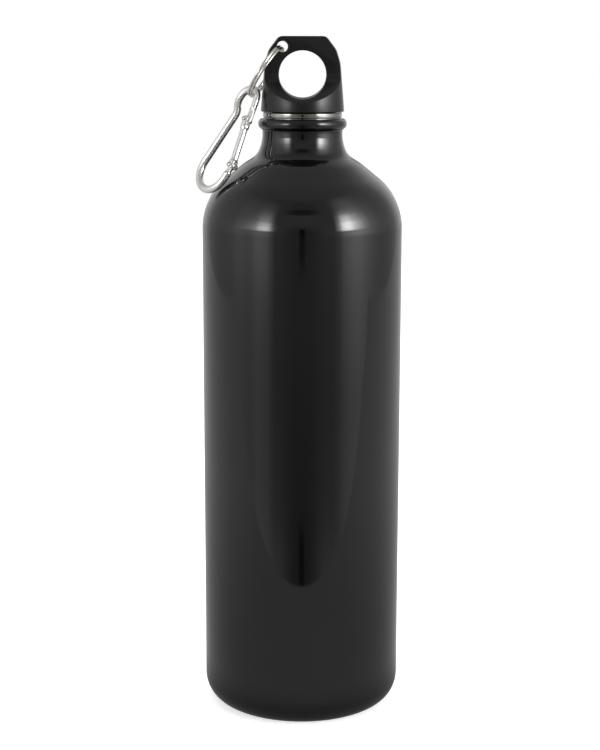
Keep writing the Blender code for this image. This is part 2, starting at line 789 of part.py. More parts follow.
def build_carabiner(parts, cutters, place, parent):
    steel = material("bright steel", 0.62, 0.62, 0.63, 1.0, 0.2)
    aluminium = material("polished aluminium", 0.8, 0.8, 0.8, 1.0, 0.2)
    line = frame_line()
    widths = [NOSE_RADIUS / BAR_RADIUS, NOSE_RADIUS / BAR_RADIUS] + [1] * (len(line) - 2)
    bar = tube("carabiner_frame", [flat_in_space(p) for p in line], BAR_RADIUS, parts, 3, widths)
    frame = made_mesh(bar)
    frame.data.materials.append(aluminium)
    combine(frame, tongue(cutters), "UNION")
    combine(frame, blade(cutters), "UNION")
    hole = Matrix.Translation(flat_in_space(gate_pivot()))
    through = 2 * (FORK_RADIUS + OVERRUN)
    tongue_hole = cylinder("tongue_hole", PIN_RADIUS + CLEARANCE, through, hole, cutters)
    combine(frame, tongue_hole, "DIFFERENCE")
    gate, tools = build_gate(parts, cutters, aluminium)
    rivet = build_pin("gate_rivet", gate_pivot(), RIVET_HEAD_RADIUS, steel, parts)
    pin = build_pin("latch_pin", latch_point(), PIN_HEAD_RADIUS, steel, parts)
    plunger = build_plunger(parts, steel)
    spring = build_spring(parts, steel)
    helpers = [item for item in cutters.objects if item.name in CARABINER_TOOLS] + tools
    for item in [frame, gate, rivet, pin, plunger, spring] + helpers:
        item.matrix_world = place @ item.matrix_world
    carry(frame, parent)
    carry(rivet, parent)
    hinge = place @ Matrix.Translation(flat_in_space(gate_pivot()))
    gate_axis = pivot("gate_axis", hinge, parts, parent)
    for item in (gate, pin, spring, plunger):
        carry(item, gate_axis)
    for item in helpers:
        carry(item, parent)


def tongue(cutters):
    """The flat tongue at the hinge: its lower end grips the bar, and its tip is square to the gate."""
    half = TONGUE_WIDTH / 2
    heel_up = unit(-HEEL_END_ANGLE)
    heel_across = Vector((heel_up.y, -heel_up.x))
    low = gate_pivot() - heel_up * (BAR_END_TO_PIVOT + TONGUE_GRIP)
    outline = [
        gate_point(TONGUE_TIP, -half),
        gate_point(0, -half),
        low - heel_across * half,
        low + heel_across * half,
        gate_point(0, half),
        gate_point(TONGUE_TIP, half),
    ]
    return made_mesh(flat_plate("hinge_tongue", outline, BLADE_THICKNESS, cutters))


def blade(cutters):
    """The flat blade at the nose, with a notch on its inner side that the gate's pin drops into."""
    top, down = nose_frame()
    across = Vector((-down.y, down.x))
    half = BLADE_WIDTH / 2
    high = top + down * BLADE_START
    low = top + down * (BLADE_START + BLADE_LENGTH)
    edge = BLADE_THICKNESS / 2
    corners = [high - across * half, low - across * half, low + across * half, high + across * half]
    outline = rounded([(p.x, p.y, edge) for p in corners], closed=True)
    plate = made_mesh(flat_plate("nose_blade", outline, BLADE_THICKNESS, cutters))
    room = PIN_RADIUS + FORK_SLOT_CLEARANCE
    seat = gate_matrix(gate_length() - PIN_TO_TIP)
    depth = BLADE_WIDTH + room
    shift = Matrix.Translation((room - depth / 2, 0, 0))
    notch = block("latch_notch", (depth, 2 * room, 2 * BLADE_THICKNESS), seat @ shift, cutters)
    combine(plate, notch, "DIFFERENCE")
    return plate


def build_gate(parts, cutters, finish):
    """The gate bar, thicker at its forked ends, with a slot at each end and a bore for the spring."""
    length = gate_length()
    slim_share = GATE_RADIUS / FORK_RADIUS
    tip_share = BLADE_THICKNESS / 2 / FORK_RADIUS
    taper = FORK_RADIUS / 2
    stops = [
        (-FORK_TAIL, tip_share),
        (taper - FORK_TAIL, 1),
        (FORK_TAIL, 1),
        (FORK_TAIL + taper, slim_share),
        (length - FORK_LENGTH - taper, slim_share),
        (length - FORK_LENGTH, 1),
        (length - taper / 2, 1),
        (length, slim_share),
    ]
    points = [flat_in_space(gate_point(distance)) for distance, _ in stops]
    bar = tube("carabiner_gate", points, FORK_RADIUS, parts, 4, [share for _, share in stops])
    gate = made_mesh(bar)
    gate.data.materials.append(finish)
    slot = BLADE_THICKNESS + 2 * FORK_SLOT_CLEARANCE
    wide = 2 * (FORK_RADIUS + OVERRUN)
    tail_depth = TAIL_SLOT_DEPTH + FORK_TAIL + OVERRUN
    fork_depth = FORK_LENGTH - taper + OVERRUN
    bore_length = plunger_room() + SPRING_CURLS * SPRING_PITCH + 2 * SPRING_WIRE_RADIUS + CLEARANCE
    bore_base = TAIL_SLOT_DEPTH - OVERRUN / 2
    bore_middle = (bore_base + TONGUE_TIP + bore_length) / 2
    tools = [
        block("tail_slot", (wide, tail_depth, slot), gate_matrix(TAIL_SLOT_DEPTH - tail_depth / 2), cutters),
        block("fork_slot", (wide, fork_depth, slot), gate_matrix(length + OVERRUN - fork_depth / 2), cutters),
        cylinder("gate_bore", BORE_RADIUS, TONGUE_TIP + bore_length - bore_base,
                 gate_matrix(bore_middle, True), cutters, SMALL_FACETS),
        cylinder("rivet_hole", PIN_RADIUS + CLEARANCE, wide, gate_matrix(0), cutters),
        cylinder("pin_hole", PIN_RADIUS + CLEARANCE, wide, gate_matrix(length - PIN_TO_TIP), cutters),
    ]
    for tool in tools:
        combine(gate, tool, "DIFFERENCE")
    return gate, tools


def build_pin(name, place, head_radius, finish, parts):
    """A headed pin through a fork, centred on the carabiner's plane."""
    grip = FORK_RADIUS + CLEARANCE
    tip = grip + PIN_HEAD_HEIGHT
    crown = head_radius - PIN_HEAD_HEIGHT / 2
    outline = [
        (0, tip),
        (crown, tip),
        (head_radius, grip + PIN_HEAD_HEIGHT / 2),
        (head_radius, grip),
        (PIN_RADIUS, grip),
        (PIN_RADIUS, -grip),
        (head_radius, -grip),
        (head_radius, -grip - PIN_HEAD_HEIGHT / 2),
        (crown, -tip),
        (0, -tip),
    ]
    item = turned(name, outline, parts, SMALL_FACETS)
    item.data.materials.append(finish)
    item.matrix_world = Matrix.Translation(flat_in_space(place))
    return item


def plunger_room():
    """How far above the tongue's tip the spring starts, with the plunger pushed in."""
    return CLEARANCE + PLUNGER_LENGTH + PLUNGER_TRAVEL + CLEARANCE


def build_plunger(parts, finish):
    outline = rounded([
        (0, PLUNGER_LENGTH, 0),
        (PLUNGER_RADIUS, PLUNGER_LENGTH, 0),
        (PLUNGER_RADIUS, 0, PLUNGER_EDGE),
        (0, 0, 0),
    ])
    item = turned("gate_plunger", outline, parts, SMALL_FACETS)
    item.data.materials.append(finish)
    item.matrix_world = gate_matrix(TONGUE_TIP + CLEARANCE, True)
    return item


def build_spring(parts, finish):
    """The compression spring that pushes the plunger, one unbroken wire with open curls."""
    radius = PLUNGER_RADIUS - SPRING_WIRE_RADIUS
    points = helix(radius, SPRING_PITCH, SPRING_CURLS, SPRING_WIRE_RADIUS, SPRING_POINTS)
    item = tube("gate_spring", points, SPRING_WIRE_RADIUS, parts, 1)
    item.data.materials.append(finish)
    item.matrix_world = gate_matrix(TONGUE_TIP + plunger_room(), True)
    gap = least_gap(points, SPRING_WIRE_RADIUS, SPRING_POINTS // 2)
    print("least gap of gate_spring to itself, mm:", round(gap * 1000, 3))
    return item


def print_places(place):
    """Prints the places and directions that the joints and mounts use, in millimetres."""
    hinge = place @ flat_in_space(gate_pivot())
    gate_up = place.to_3x3() @ flat_in_space(gate_way())
    print("ring hole centre:", [round(v * 1000, 3) for v in ring_hole_centre()])
    print("gate pivot:", [round(v * 1000, 3) for v in hinge])
    print("gate axis:", [round(v, 5) for v in place.col[2][:3]], "gate up", [round(v, 5) for v in gate_up])
    print("heights:", [round(v * 1000, 2) for v in (BEAD_TOP, LIP_TOP, CAP_BASE, CAP_TOP)])


def main():
    clear_scene()
    parts = new_collection(OBJECT_NAME)
    cutters = new_collection("cutters")
    build_shell(parts)
    build_insert(parts, cutters)
    cap_axis = pivot("cap_axis", Matrix.Translation((0, 0, CAP_BASE)), parts)
    for item in (build_cap(parts, cutters), build_plug(parts, cutters), build_seal(parts)):
        carry(item, cap_axis)
    ring_axis = pivot("ring_axis", Matrix.Translation(ring_hole_centre()), parts, cap_axis)
    build_ring(parts, ring_axis)
    swing = carabiner_rest_swing()
    print("carabiner rests at a swing of", round(math.degrees(swing), 2), "degrees")
    place = carabiner_place(swing)
    roll = ring_low_point() + Vector((ROLL_SHIFT, 0, ROLL_SHIFT))
    carabiner_axis = pivot("carabiner_axis", Matrix.Translation(roll), parts, ring_axis)
    build_carabiner(parts, cutters, place, carabiner_axis)
    print("carabiner axis:", [round(v * 1000, 3) for v in roll])
    print_places(place)


main()
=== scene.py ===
"""Slim lacquered aluminium drinking bottle with a screw cap, a split ring and a small carabiner, in a studio.

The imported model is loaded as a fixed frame. Each operator makes one piece, or a group of like pieces, over it
and lets it ride on the body that carries it. Lengths are in metres. +Z is up, the front is -Y, and the ring
hangs at -X.
"""

import json
import math

import bmesh
import bpy
from bpy.props import FloatProperty, FloatVectorProperty, IntProperty, PointerProperty
from mathutils import Matrix, Vector

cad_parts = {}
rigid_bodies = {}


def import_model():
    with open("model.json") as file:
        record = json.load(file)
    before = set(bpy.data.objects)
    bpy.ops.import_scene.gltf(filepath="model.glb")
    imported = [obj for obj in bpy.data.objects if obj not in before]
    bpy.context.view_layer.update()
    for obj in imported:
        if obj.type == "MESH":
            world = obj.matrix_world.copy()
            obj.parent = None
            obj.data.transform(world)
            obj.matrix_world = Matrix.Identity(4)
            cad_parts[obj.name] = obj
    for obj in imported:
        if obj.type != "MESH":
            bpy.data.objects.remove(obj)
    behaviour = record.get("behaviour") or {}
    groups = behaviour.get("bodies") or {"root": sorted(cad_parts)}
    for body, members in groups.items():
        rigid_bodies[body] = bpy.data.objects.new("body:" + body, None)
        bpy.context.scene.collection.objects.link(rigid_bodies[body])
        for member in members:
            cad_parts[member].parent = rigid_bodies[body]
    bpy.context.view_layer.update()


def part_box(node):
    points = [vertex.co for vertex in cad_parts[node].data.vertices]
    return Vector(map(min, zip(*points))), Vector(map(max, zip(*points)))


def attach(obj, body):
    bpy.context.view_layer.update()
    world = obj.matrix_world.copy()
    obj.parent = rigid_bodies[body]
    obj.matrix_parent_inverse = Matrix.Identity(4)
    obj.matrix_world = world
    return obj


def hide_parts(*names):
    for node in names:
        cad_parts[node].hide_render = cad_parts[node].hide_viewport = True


bl_info = {
    "name": "Slim Aluminium Bottle",
    "version": (1, 0, 0),
    "blender": (4, 5, 0),
    "location": "View3D > Sidebar > Bottle",
    "description": "Makes the pieces, finishes and studio of a slim lacquered aluminium drinking bottle",
    "category": "Object",
}

for item in list(bpy.data.objects):
    bpy.data.objects.remove(item, do_unlink=True)

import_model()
SHELL_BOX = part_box("bottle_shell")
CAP_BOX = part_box("cap_body")
LIP_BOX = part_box("neck_thread_ring")

MM = 0.001
GAP = 0.3 * MM


def linear(code):
    """A colour written as an sRGB hex code, as the linear values that the shaders use."""
    shares = [int(code[i:i + 2], 16) / 255 for i in (0, 2, 4)]
    return [s / 12.92 if s <= 0.04045 else ((s + 0.055) / 1.055) ** 2.4 for s in shares]


def length(name, description, default, **more):
    """A length that a user can change."""
    return FloatProperty(
        name=name, description=description, default=default, unit="LENGTH", precision=4, **more)


def colour(name, description, code):
    """A colour that a user can change, given as its hex code."""
    return FloatVectorProperty(
        name=name, description=description, subtype="COLOR", default=linear(code), min=0, max=1)


class BOTTLE_PG_sizes(bpy.types.PropertyGroup):
    """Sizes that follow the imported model, and that someone fitting it to another batch would change."""

    body_radius: length("Body Radius", "Outside radius of the straight body", SHELL_BOX[1].y, min=0.02)
    shoulder_height: length(
        "Shoulder Height", "Height at which the straight side would meet the sloping shoulder", 0.209)
    neck_radius: length("Neck Radius", "Outside radius of the neck", 0.0159)
    bead_top: length("Bead Top", "Height of the top of the rolled bead round the mouth", SHELL_BOX[1].z)
    wall: length("Wall", "Thickness of the drawn wall", 0.001)
    thread_pitch: length("Thread Pitch", "Rise of the cap in one turn", 0.004)
    cap_base: length("Cap Base", "Height of the cap's lower edge", CAP_BOX[0].z)
    cap_top: length("Cap Top", "Height of the cap's flat top", CAP_BOX[1].z)
    plate_thickness: length("Plate Thickness", "Thickness of the carrying plate at its foot", 0.0074)
    ring_radius: length("Ring Radius", "Radius of the middle of the split ring's wire", 0.0113)
    bar_radius: length("Carabiner Bar Radius", "Radius of the carabiner's round bar", 0.0015)
    segments: IntProperty(
        name="Turned Segments", description="Faces round each turned piece", default=192, min=32, max=256)


class BOTTLE_PG_colours(bpy.types.PropertyGroup):
    """Colours of the finishes."""

    lacquer: colour("Lacquer", "Baked lacquer on the outside of the shell", "060607")
    lining: colour("Lining", "Clear lining over the bare metal inside", "B9AD93")
    cap_plastic: colour("Cap Plastic", "Moulded plastic of the cap", "0D0D0E")
    silicone: colour("Seal Silicone", "Silicone of the seal", "DCDBD5")
    aluminium: colour("Aluminium", "Polished aluminium", "E9E9E6")
    # The turned aluminium's colour is set darker than the polished aluminium's.
    turned: colour("Turned Aluminium", "Bare turned aluminium, darker than the polished aluminium", "94948F")
    nickel: colour("Nickel Plating", "Plating of the split ring", "DAD6CF")
    steel: colour("Steel", "Drawn steel of the pins and the spring", "C8C9CB")
    floor: colour("Floor", "Painted studio floor", "F2F2F2")


def sizes():
    return bpy.context.scene.bottle_sizes


def colours():
    return bpy.context.scene.bottle_colours


def add(tree, kind, inputs=(), **settings):
    """One node with its settings. Its inputs are given by name or number, as values, sockets or nodes."""
    made = tree.nodes.new(kind)
    for name, value in settings.items():
        setattr(made, name, value)
    for key, value in dict(inputs).items():
        if isinstance(value, bpy.types.Node):
            value = value.outputs[0]
        if isinstance(value, bpy.types.NodeSocket):
            tree.links.new(value, made.inputs[key])
        else:
            made.inputs[key].default_value = value
    return made


# Geometry Nodes trees


def new_tree(name, inputs):
    """An empty geometry tree with named inputs, given as (name, socket type) pairs."""
    tree = bpy.data.node_groups.new(name, "GeometryNodeTree")
    tree.interface.new_socket("Geometry", in_out="INPUT", socket_type="NodeSocketGeometry")
    for label, kind in inputs:
        tree.interface.new_socket(label, in_out="INPUT", socket_type=kind)
    tree.interface.new_socket("Geometry", in_out="OUTPUT", socket_type="NodeSocketGeometry")
    return tree, add(tree, "NodeGroupInput").outputs


def close_tree(tree, geometry, finish):
    """Smooth shading, real instances and the material at the end of a tree."""
    smooth = add(tree, "GeometryNodeSetShadeSmooth", {"Geometry": geometry})
    real = add(tree, "GeometryNodeRealizeInstances", {0: smooth})
    painted = add(tree, "GeometryNodeSetMaterial", {"Geometry": real, "Material": finish})
    add(tree, "NodeGroupOutput", {"Geometry": painted})


def turned_form_tree():
    """Turns an outline about Z: its corners are rounded by the fillet and steps that each point carries."""
    tree, given = new_tree("Turned Form", [
        ("Segments", "NodeSocketInt"), ("Closed", "NodeSocketInt"), ("Finish", "NodeSocketMaterial")])
    fillet = add(tree, "GeometryNodeInputNamedAttribute", {"Name": "fillet"}, data_type="FLOAT")
    steps = add(tree, "GeometryNodeInputNamedAttribute", {"Name": "steps"}, data_type="INT")
    line = add(tree, "GeometryNodeMeshToCurve", {"Mesh": given["Geometry"]})
    rounded = add(tree, "GeometryNodeFilletCurve", {
        "Curve": line, "Count": steps.outputs["Attribute"], "Radius": fillet.outputs["Attribute"]},
        mode="POLY")
    points = add(tree, "GeometryNodeCurveToPoints", {"Curve": rounded}, mode="EVALUATED")
    count = add(tree, "GeometryNodeAttributeDomainSize", {"Geometry": points}, component="POINTCLOUD")
    rows = add(tree, "FunctionNodeIntegerMath", {
        0: count.outputs["Point Count"], 1: given["Closed"]}, operation="ADD")
    columns = add(tree, "FunctionNodeIntegerMath", {0: given["Segments"], 1: 1}, operation="ADD")
    grid = add(tree, "GeometryNodeMeshGrid", {"Vertices X": rows, "Vertices Y": columns})
    index = add(tree, "GeometryNodeInputIndex")
    row = add(tree, "FunctionNodeIntegerMath", {0: index, 1: columns}, operation="DIVIDE_FLOOR")
    point = add(tree, "FunctionNodeIntegerMath", {
        0: row, 1: count.outputs["Point Count"]}, operation="MODULO")
    column = add(tree, "FunctionNodeIntegerMath", {0: index, 1: columns}, operation="MODULO")
    share = add(tree, "ShaderNodeMath", {0: column, 1: given["Segments"]}, operation="DIVIDE")
    angle = add(tree, "ShaderNodeMath", {0: share, 1: 2 * math.pi}, operation="MULTIPLY")
    here = add(tree, "GeometryNodeInputPosition")
    place = add(tree, "GeometryNodeSampleIndex", {
        "Geometry": points, "Value": here, "Index": point},
        data_type="FLOAT_VECTOR", domain="POINT")
    turned = add(tree, "ShaderNodeVectorRotate", {
        "Vector": place, "Axis": (0, 0, 1), "Angle": angle}, rotation_type="AXIS_ANGLE")
    moved = add(tree, "GeometryNodeSetPosition", {"Geometry": grid.outputs["Mesh"], "Position": turned})
    welded = add(tree, "GeometryNodeMergeByDistance", {"Geometry": moved, "Distance": 0.001 * MM})
    close_tree(tree, welded, given["Finish"])
    return tree


def wound_wire_tree():
    """Winds a wire about Z, with a step to one side between two shares of its length, and tapered ends."""
    floats = (
        "Turns", "Pitch", "Mean Radius", "Wire Width", "Wire Height", "Step", "Step Start", "Step End",
        "End Taper", "Base")
    tree, given = new_tree("Wound Wire", [(label, "NodeSocketFloat") for label in floats] + [
        ("Points per Turn", "NodeSocketInt"), ("Finish", "NodeSocketMaterial")])
    height = add(tree, "ShaderNodeMath", {0: given["Turns"], 1: given["Pitch"]}, operation="MULTIPLY")
    spiral = add(tree, "GeometryNodeCurveSpiral", {
        "Resolution": given["Points per Turn"], "Rotations": given["Turns"], "Height": height,
        "Start Radius": given["Mean Radius"], "End Radius": given["Mean Radius"], "Reverse": False})
    along = add(tree, "GeometryNodeSplineParameter")
    side = add(tree, "ShaderNodeMapRange", {
        "Value": along.outputs["Factor"], "From Min": given["Step Start"], "From Max": given["Step End"],
        "To Min": 0.0, "To Max": given["Step"]}, interpolation_type="SMOOTHSTEP")
    half = add(tree, "ShaderNodeMath", {0: given["Step"], 1: -0.5}, operation="MULTIPLY")
    lift = add(tree, "ShaderNodeMath", {0: side, 1: half}, operation="ADD")
    up = add(tree, "ShaderNodeMath", {0: lift, 1: given["Base"]}, operation="ADD")
    offset = add(tree, "ShaderNodeCombineXYZ", {"Z": up})
    stepped = add(tree, "GeometryNodeSetPosition", {"Geometry": spiral, "Offset": offset})
    from_end = add(tree, "ShaderNodeMath", {0: 1.0, 1: along.outputs["Factor"]}, operation="SUBTRACT")
    nearest = add(tree, "ShaderNodeMath", {0: along.outputs["Factor"], 1: from_end}, operation="MINIMUM")
    taper = add(tree, "ShaderNodeMapRange", {
        "Value": nearest, "From Min": 0.0, "From Max": given["End Taper"], "To Min": 0.25, "To Max": 1.0},
        interpolation_type="SMOOTHSTEP")
    tapered = add(tree, "GeometryNodeSetCurveRadius", {"Curve": stepped, "Radius": taper})
    normal = add(tree, "GeometryNodeSetCurveNormal", {"Curve": tapered}, mode="Z_UP")
    ring = add(tree, "GeometryNodeCurvePrimitiveCircle", {"Resolution": 16, "Radius": 1.0}, mode="RADIUS")
    section = add(tree, "ShaderNodeCombineXYZ", {
        "X": given["Wire Height"], "Y": given["Wire Width"], "Z": 1.0})
    shaped = add(tree, "GeometryNodeTransform", {"Geometry": ring, "Scale": section})
    swept = add(tree, "GeometryNodeCurveToMesh", {
        "Curve": normal, "Profile Curve": shaped, "Fill Caps": True})
    welded = add(tree, "GeometryNodeMergeByDistance", {"Geometry": swept, "Distance": 0.001 * MM})
    close_tree(tree, welded, given["Finish"])
    return tree


def grown(name, mesh, tree, values):
    """A plain mesh object grown from a base mesh by a tree, whose inputs are set before it is evaluated."""
    base = bpy.data.objects.new(name + "_base", mesh)
    bpy.context.scene.collection.objects.link(base)
    step = base.modifiers.new(tree.name, "NODES")
    step.node_group = tree
    for item in tree.interface.items_tree:
        if item.item_type == "SOCKET" and item.in_out == "INPUT" and item.name in values:
            step[item.identifier] = values[item.name]
    graph = bpy.context.evaluated_depsgraph_get()
    result = bpy.data.meshes.new_from_object(base.evaluated_get(graph))
    bpy.data.objects.remove(base, do_unlink=True)
    result.materials.clear()
    if values["Finish"]:
        result.materials.append(values["Finish"])
    result.polygons.foreach_set("material_index", [0] * len(result.polygons))
    return finished(name, result)


def finished(name, mesh, keep_angle=35):
    """A closed mesh as an object at the origin, facing out, smooth between its hard edges."""
    body = bmesh.new()
    body.from_mesh(mesh)
    bmesh.ops.remove_doubles(body, verts=body.verts, dist=0.0005 * MM)
    bmesh.ops.dissolve_degenerate(body, edges=body.edges, dist=0.0001 * MM)
    bmesh.ops.recalc_face_normals(body, faces=body.faces)
    open_edges = sum(1 for e in body.edges if len(e.link_faces) != 2)
    body.to_mesh(mesh)
    body.free()
    mesh.shade_smooth()
    mesh.set_sharp_from_angle(angle=math.radians(keep_angle))
    mesh.name = name
    made = bpy.data.objects.new(name, mesh)
    bpy.context.scene.collection.objects.link(made)
    print(name, "faces", len(mesh.polygons), "open edges", open_edges)
    return made


def outline_mesh(name, corners, closed=False):
    """A chain of edges through (radius, height, fillet) corners, each with the steps that its fillet needs."""
    mesh = bpy.data.meshes.new(name)
    edges = [(i, i + 1) for i in range(len(corners) - 1)]
    if closed:
        edges.append((len(corners) - 1, 0))
    mesh.from_pydata([(c[0], 0, c[1]) for c in corners], edges, [])
    fillet = mesh.attributes.new("fillet", "FLOAT", "POINT")
    steps = mesh.attributes.new("steps", "INT", "POINT")
    for i, corner in enumerate(corners):
        radius = corner[2] if len(corner) > 2 else 0.0
        fillet.data[i].value = radius
        steps.data[i].value = 1 if radius == 0 else min(40, 5 + round(radius / MM * 1.6))
    return mesh


def turned_piece(name, corners, finish, closed=False, segments=None):
    """A piece turned about Z from an outline of (radius, height, fillet) corners."""
    tree = bpy.data.node_groups.get("Turned Form") or turned_form_tree()
    mesh = outline_mesh(name, corners, closed)
    values = {"Segments": segments or sizes().segments, "Closed": int(closed), "Finish": finish}
    return grown(name, mesh, tree, values)


def wound_piece(
        name, finish, turns, pitch, radius, width, height, points, step=0.0, step_start=0.0, step_end=1.0,
        taper=0.0001, base=0.0):
    """A wire wound about Z. Its step's start and end and its taper are shares of its length."""
    tree = bpy.data.node_groups.get("Wound Wire") or wound_wire_tree()
    values = {
        "Turns": float(turns), "Pitch": pitch, "Mean Radius": radius, "Wire Width": width,
        "Wire Height": height, "Points per Turn": points, "Step": step, "Step Start": step_start,
        "Step End": step_end, "End Taper": taper, "Base": base, "Finish": finish}
    return grown(name, bpy.data.meshes.new(name), tree, values)


def thread_ridge(name, finish, radius, base):
    """The ridge of a thread with tapered ends, from a height upwards."""
    return wound_piece(
        name, finish, THREAD_TURNS, sizes().thread_pitch, radius, RIDGE_RADIUS, RIDGE_RADIUS, 72, taper=0.06,
        base=base)


def set_on(piece, body, slot, *nodes):
    """Lets a finished piece ride on its body and hides the nodes that it stands for. The slot is not used."""
    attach(piece, body)
    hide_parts(*nodes)


def cut(piece, tool, operation="DIFFERENCE"):
    """A Boolean of a closed tool on a closed piece, applied at once. The exact solver loses a cut bar."""
    tool.data.materials.clear()
    tool.data.materials.append(piece.data.materials[0])
    step = piece.modifiers.new(operation, "BOOLEAN")
    step.operation = operation
    step.solver = "MANIFOLD"
    step.object = tool
    apply_modifiers(piece)
    bpy.data.objects.remove(tool, do_unlink=True)


def apply_modifiers(piece):
    graph = bpy.context.evaluated_depsgraph_get()
    mesh = bpy.data.meshes.new_from_object(piece.evaluated_get(graph))
    piece.modifiers.clear()
    piece.data = mesh


def rod(name, points, matrix, sides=32):
    """A straight-ended round tool along a short line of (radius, height) points, placed by its matrix."""
    made = turned_piece(name, points, None, segments=sides)
    made.data.transform(matrix)
    return made


def extruded(name, outline, depth, matrix):
    """A tool from a flat outline in XY, extruded half its depth to each side and placed by its matrix."""
    count = len(outline)
    places = [(x, y, z) for z in (-depth / 2, depth / 2) for x, y in outline]
    faces = [tuple(range(count))[::-1], tuple(range(count, 2 * count))]
    faces += [(i, (i + 1) % count, count + (i + 1) % count, count + i) for i in range(count)]
    mesh = bpy.data.meshes.new(name)
    mesh.from_pydata(places, [], faces)
    mesh.transform(matrix)
    return finished(name, mesh)


def filleted(corners, steps):
    """The points of a closed flat outline whose corners, given as (x, y, radius), are turned into arcs."""
    points = []
    for i, (x, y, radius) in enumerate(corners):
        here = Vector((x, y))
        if radius == 0:
            points.append(here)
            continue
        back = (Vector(corners[i - 1][:2]) - here).normalized()
        ahead = (Vector(corners[(i + 1) % len(corners)][:2]) - here).normalized()
        half = back.angle(ahead) / 2
        centre = here + (back + ahead).normalized() * radius / math.sin(half)
        start = here + back * radius / math.tan(half) - centre
        sweep = math.copysign(math.pi - 2 * half, -back.cross(ahead))
        for k in range(steps + 1):
            points.append(centre + Matrix.Rotation(sweep * k / steps, 2) @ start)
    return points


# Finishes


def new_finish(
        name, colour, shades, blotch, gloss=None, grain=None, rings=None, relief=None, stretch=None,
        **sockets):
    """A Principled material, made once and shared. Its colour and gloss wander together in soft blotches.

    shades are the colour's shares in the darkest and the palest blotch. blotch and grain are the real width,
    detail and roughness of a noise. gloss is two levels of the blotches and the surface roughness at each.
    relief is a strength and a depth, on the grain, the rings or else the blotches. stretch draws the blotches
    out upwards. sockets hold what is the same all over the surface."""
    if name in bpy.data.materials:
        return bpy.data.materials[name]
    made = bpy.data.materials.new(name)
    made.use_nodes = True
    made.diffuse_color = (0.5, 0.5, 0.5, 1.0)
    tree = made.node_tree
    shader = tree.nodes["Principled BSDF"]
    for label, value in sockets.items():
        shader.inputs[label.replace("_", " ")].default_value = value
    place = drawn = add(tree, "ShaderNodeTexCoord").outputs["Object"]
    if stretch:
        drawn = add(tree, "ShaderNodeMapping", {"Vector": place, "Scale": (1, 1, 1 / stretch)})
    width, detail, rough = blotch
    height = cloud = add(tree, "ShaderNodeTexNoise", {
        "Vector": drawn, "Scale": 1 / width, "Detail": detail, "Roughness": rough})
    dark, pale = [(*[c * share for c in colour], 1) for share in shades]
    tint = add(tree, "ShaderNodeMix", {"Factor": cloud, 6: dark, 7: pale}, data_type="RGBA")
    tree.links.new(tint.outputs[2], shader.inputs["Base Color"])
    if gloss:
        low, high, smooth, dull = gloss
        span = add(tree, "ShaderNodeMapRange", {
            "Value": cloud, "From Min": low, "From Max": high, "To Min": smooth, "To Max": dull})
        tree.links.new(span.outputs[0], shader.inputs["Roughness"])
    if grain:
        width, detail, rough = grain
        height = add(tree, "ShaderNodeTexNoise", {
            "Vector": place, "Scale": 1 / width, "Detail": detail, "Roughness": rough})
    if rings:
        height = add(tree, "ShaderNodeTexWave", {
            "Vector": place, "Scale": 1 / rings / (2 * math.pi), "Distortion": 0.6, "Detail": 2.0,
            "Detail Scale": 0.2}, wave_type="BANDS", bands_direction="Z")
    if relief:
        bump = add(tree, "ShaderNodeBump", {"Height": height, "Strength": relief[0], "Distance": relief[1]})
        tree.links.new(bump.outputs[0], shader.inputs["Normal"])
    return made


def lacquer_finish():
    """Near-black and mirror-like, with a faint orange peel a few millimetres wide that softens the edges of
    what it reflects, and thin handling haze."""
    return new_finish(
        "black stoving enamel, sprayed and baked", colours().lacquer, (1, 1.35), (22 * MM, 4.0, 0.6),
        gloss=(0.3, 0.75, 0.035, 0.065), grain=(2.6 * MM, 2.0, 0.45), relief=(0.06, 0.004 * MM), IOR=1.5,
        Roughness=0.045)


def lining_finish():
    """A warm, cloudy metal sheen with slow runs down the wall."""
    return new_finish(
        "clear epoxy lining on aluminium, sprayed", colours().lining, (0.8, 1), (9 * MM, 3.0, 0.5),
        gloss=(0, 1, 0.3, 0.5), stretch=4, Metallic=0.9, Roughness=0.4)


def turned_aluminium_finish():
    """Satin, with fine tool rings about 0.15 mm apart, drawn at 0.3 mm to show."""
    return new_finish(
        "bare aluminium, lathe turned", colours().turned, (0.86, 1), (4 * MM, 3.0, 0.5),
        gloss=(0, 1, 0.05, 0.1), rings=0.3 * MM, relief=(0.08, 0.01 * MM), Metallic=1.0, Roughness=0.15)


def cap_plastic_finish():
    """Satin black from a spark-eroded tool: a fine leathery grain that spreads highlights, and dull scuffs."""
    return new_finish(
        "black polypropylene, spark-grain moulded", colours().cap_plastic, (0.8, 1.2), (6 * MM, 5.0, 0.65),
        gloss=(0.3, 0.7, 0.27, 0.35), grain=(0.35 * MM, 2.0, 0.5), relief=(0.18, 0.02 * MM), IOR=1.49,
        Roughness=0.3, Specular_IOR_Level=0.36)


def plug_plastic_finish():
    """Plain black from a polished tool, a little glossier than the cap."""
    return new_finish(
        "black polypropylene, smooth moulded", colours().cap_plastic, (1, 1.3), (5 * MM, 3.0, 0.5),
        gloss=(0, 1, 0.24, 0.36), IOR=1.49, Roughness=0.3)


def silicone_finish():
    """Matt and slightly waxy, with light passing a little way in."""
    return new_finish(
        "milky silicone, compression moulded", colours().silicone, (0.9, 1), (2 * MM, 3.0, 0.5),
        relief=(0.2, 0.02 * MM), IOR=1.41, Roughness=0.5, Subsurface_Weight=0.2, Subsurface_Scale=1.0 * MM)


def polished_bar_finish():
    """Tumbled after bending: bright with a soft edge to each reflection, and fine pits from the media."""
    return new_finish(
        "aluminium bar, bent and tumble polished", colours().aluminium, (0.95, 1), (3 * MM, 4.0, 0.6),
        gloss=(0.3, 0.7, 0.32, 0.42), grain=(0.5 * MM, 2.0, 0.5), relief=(0.2, 0.006 * MM), Metallic=1.0,
        Roughness=0.37)


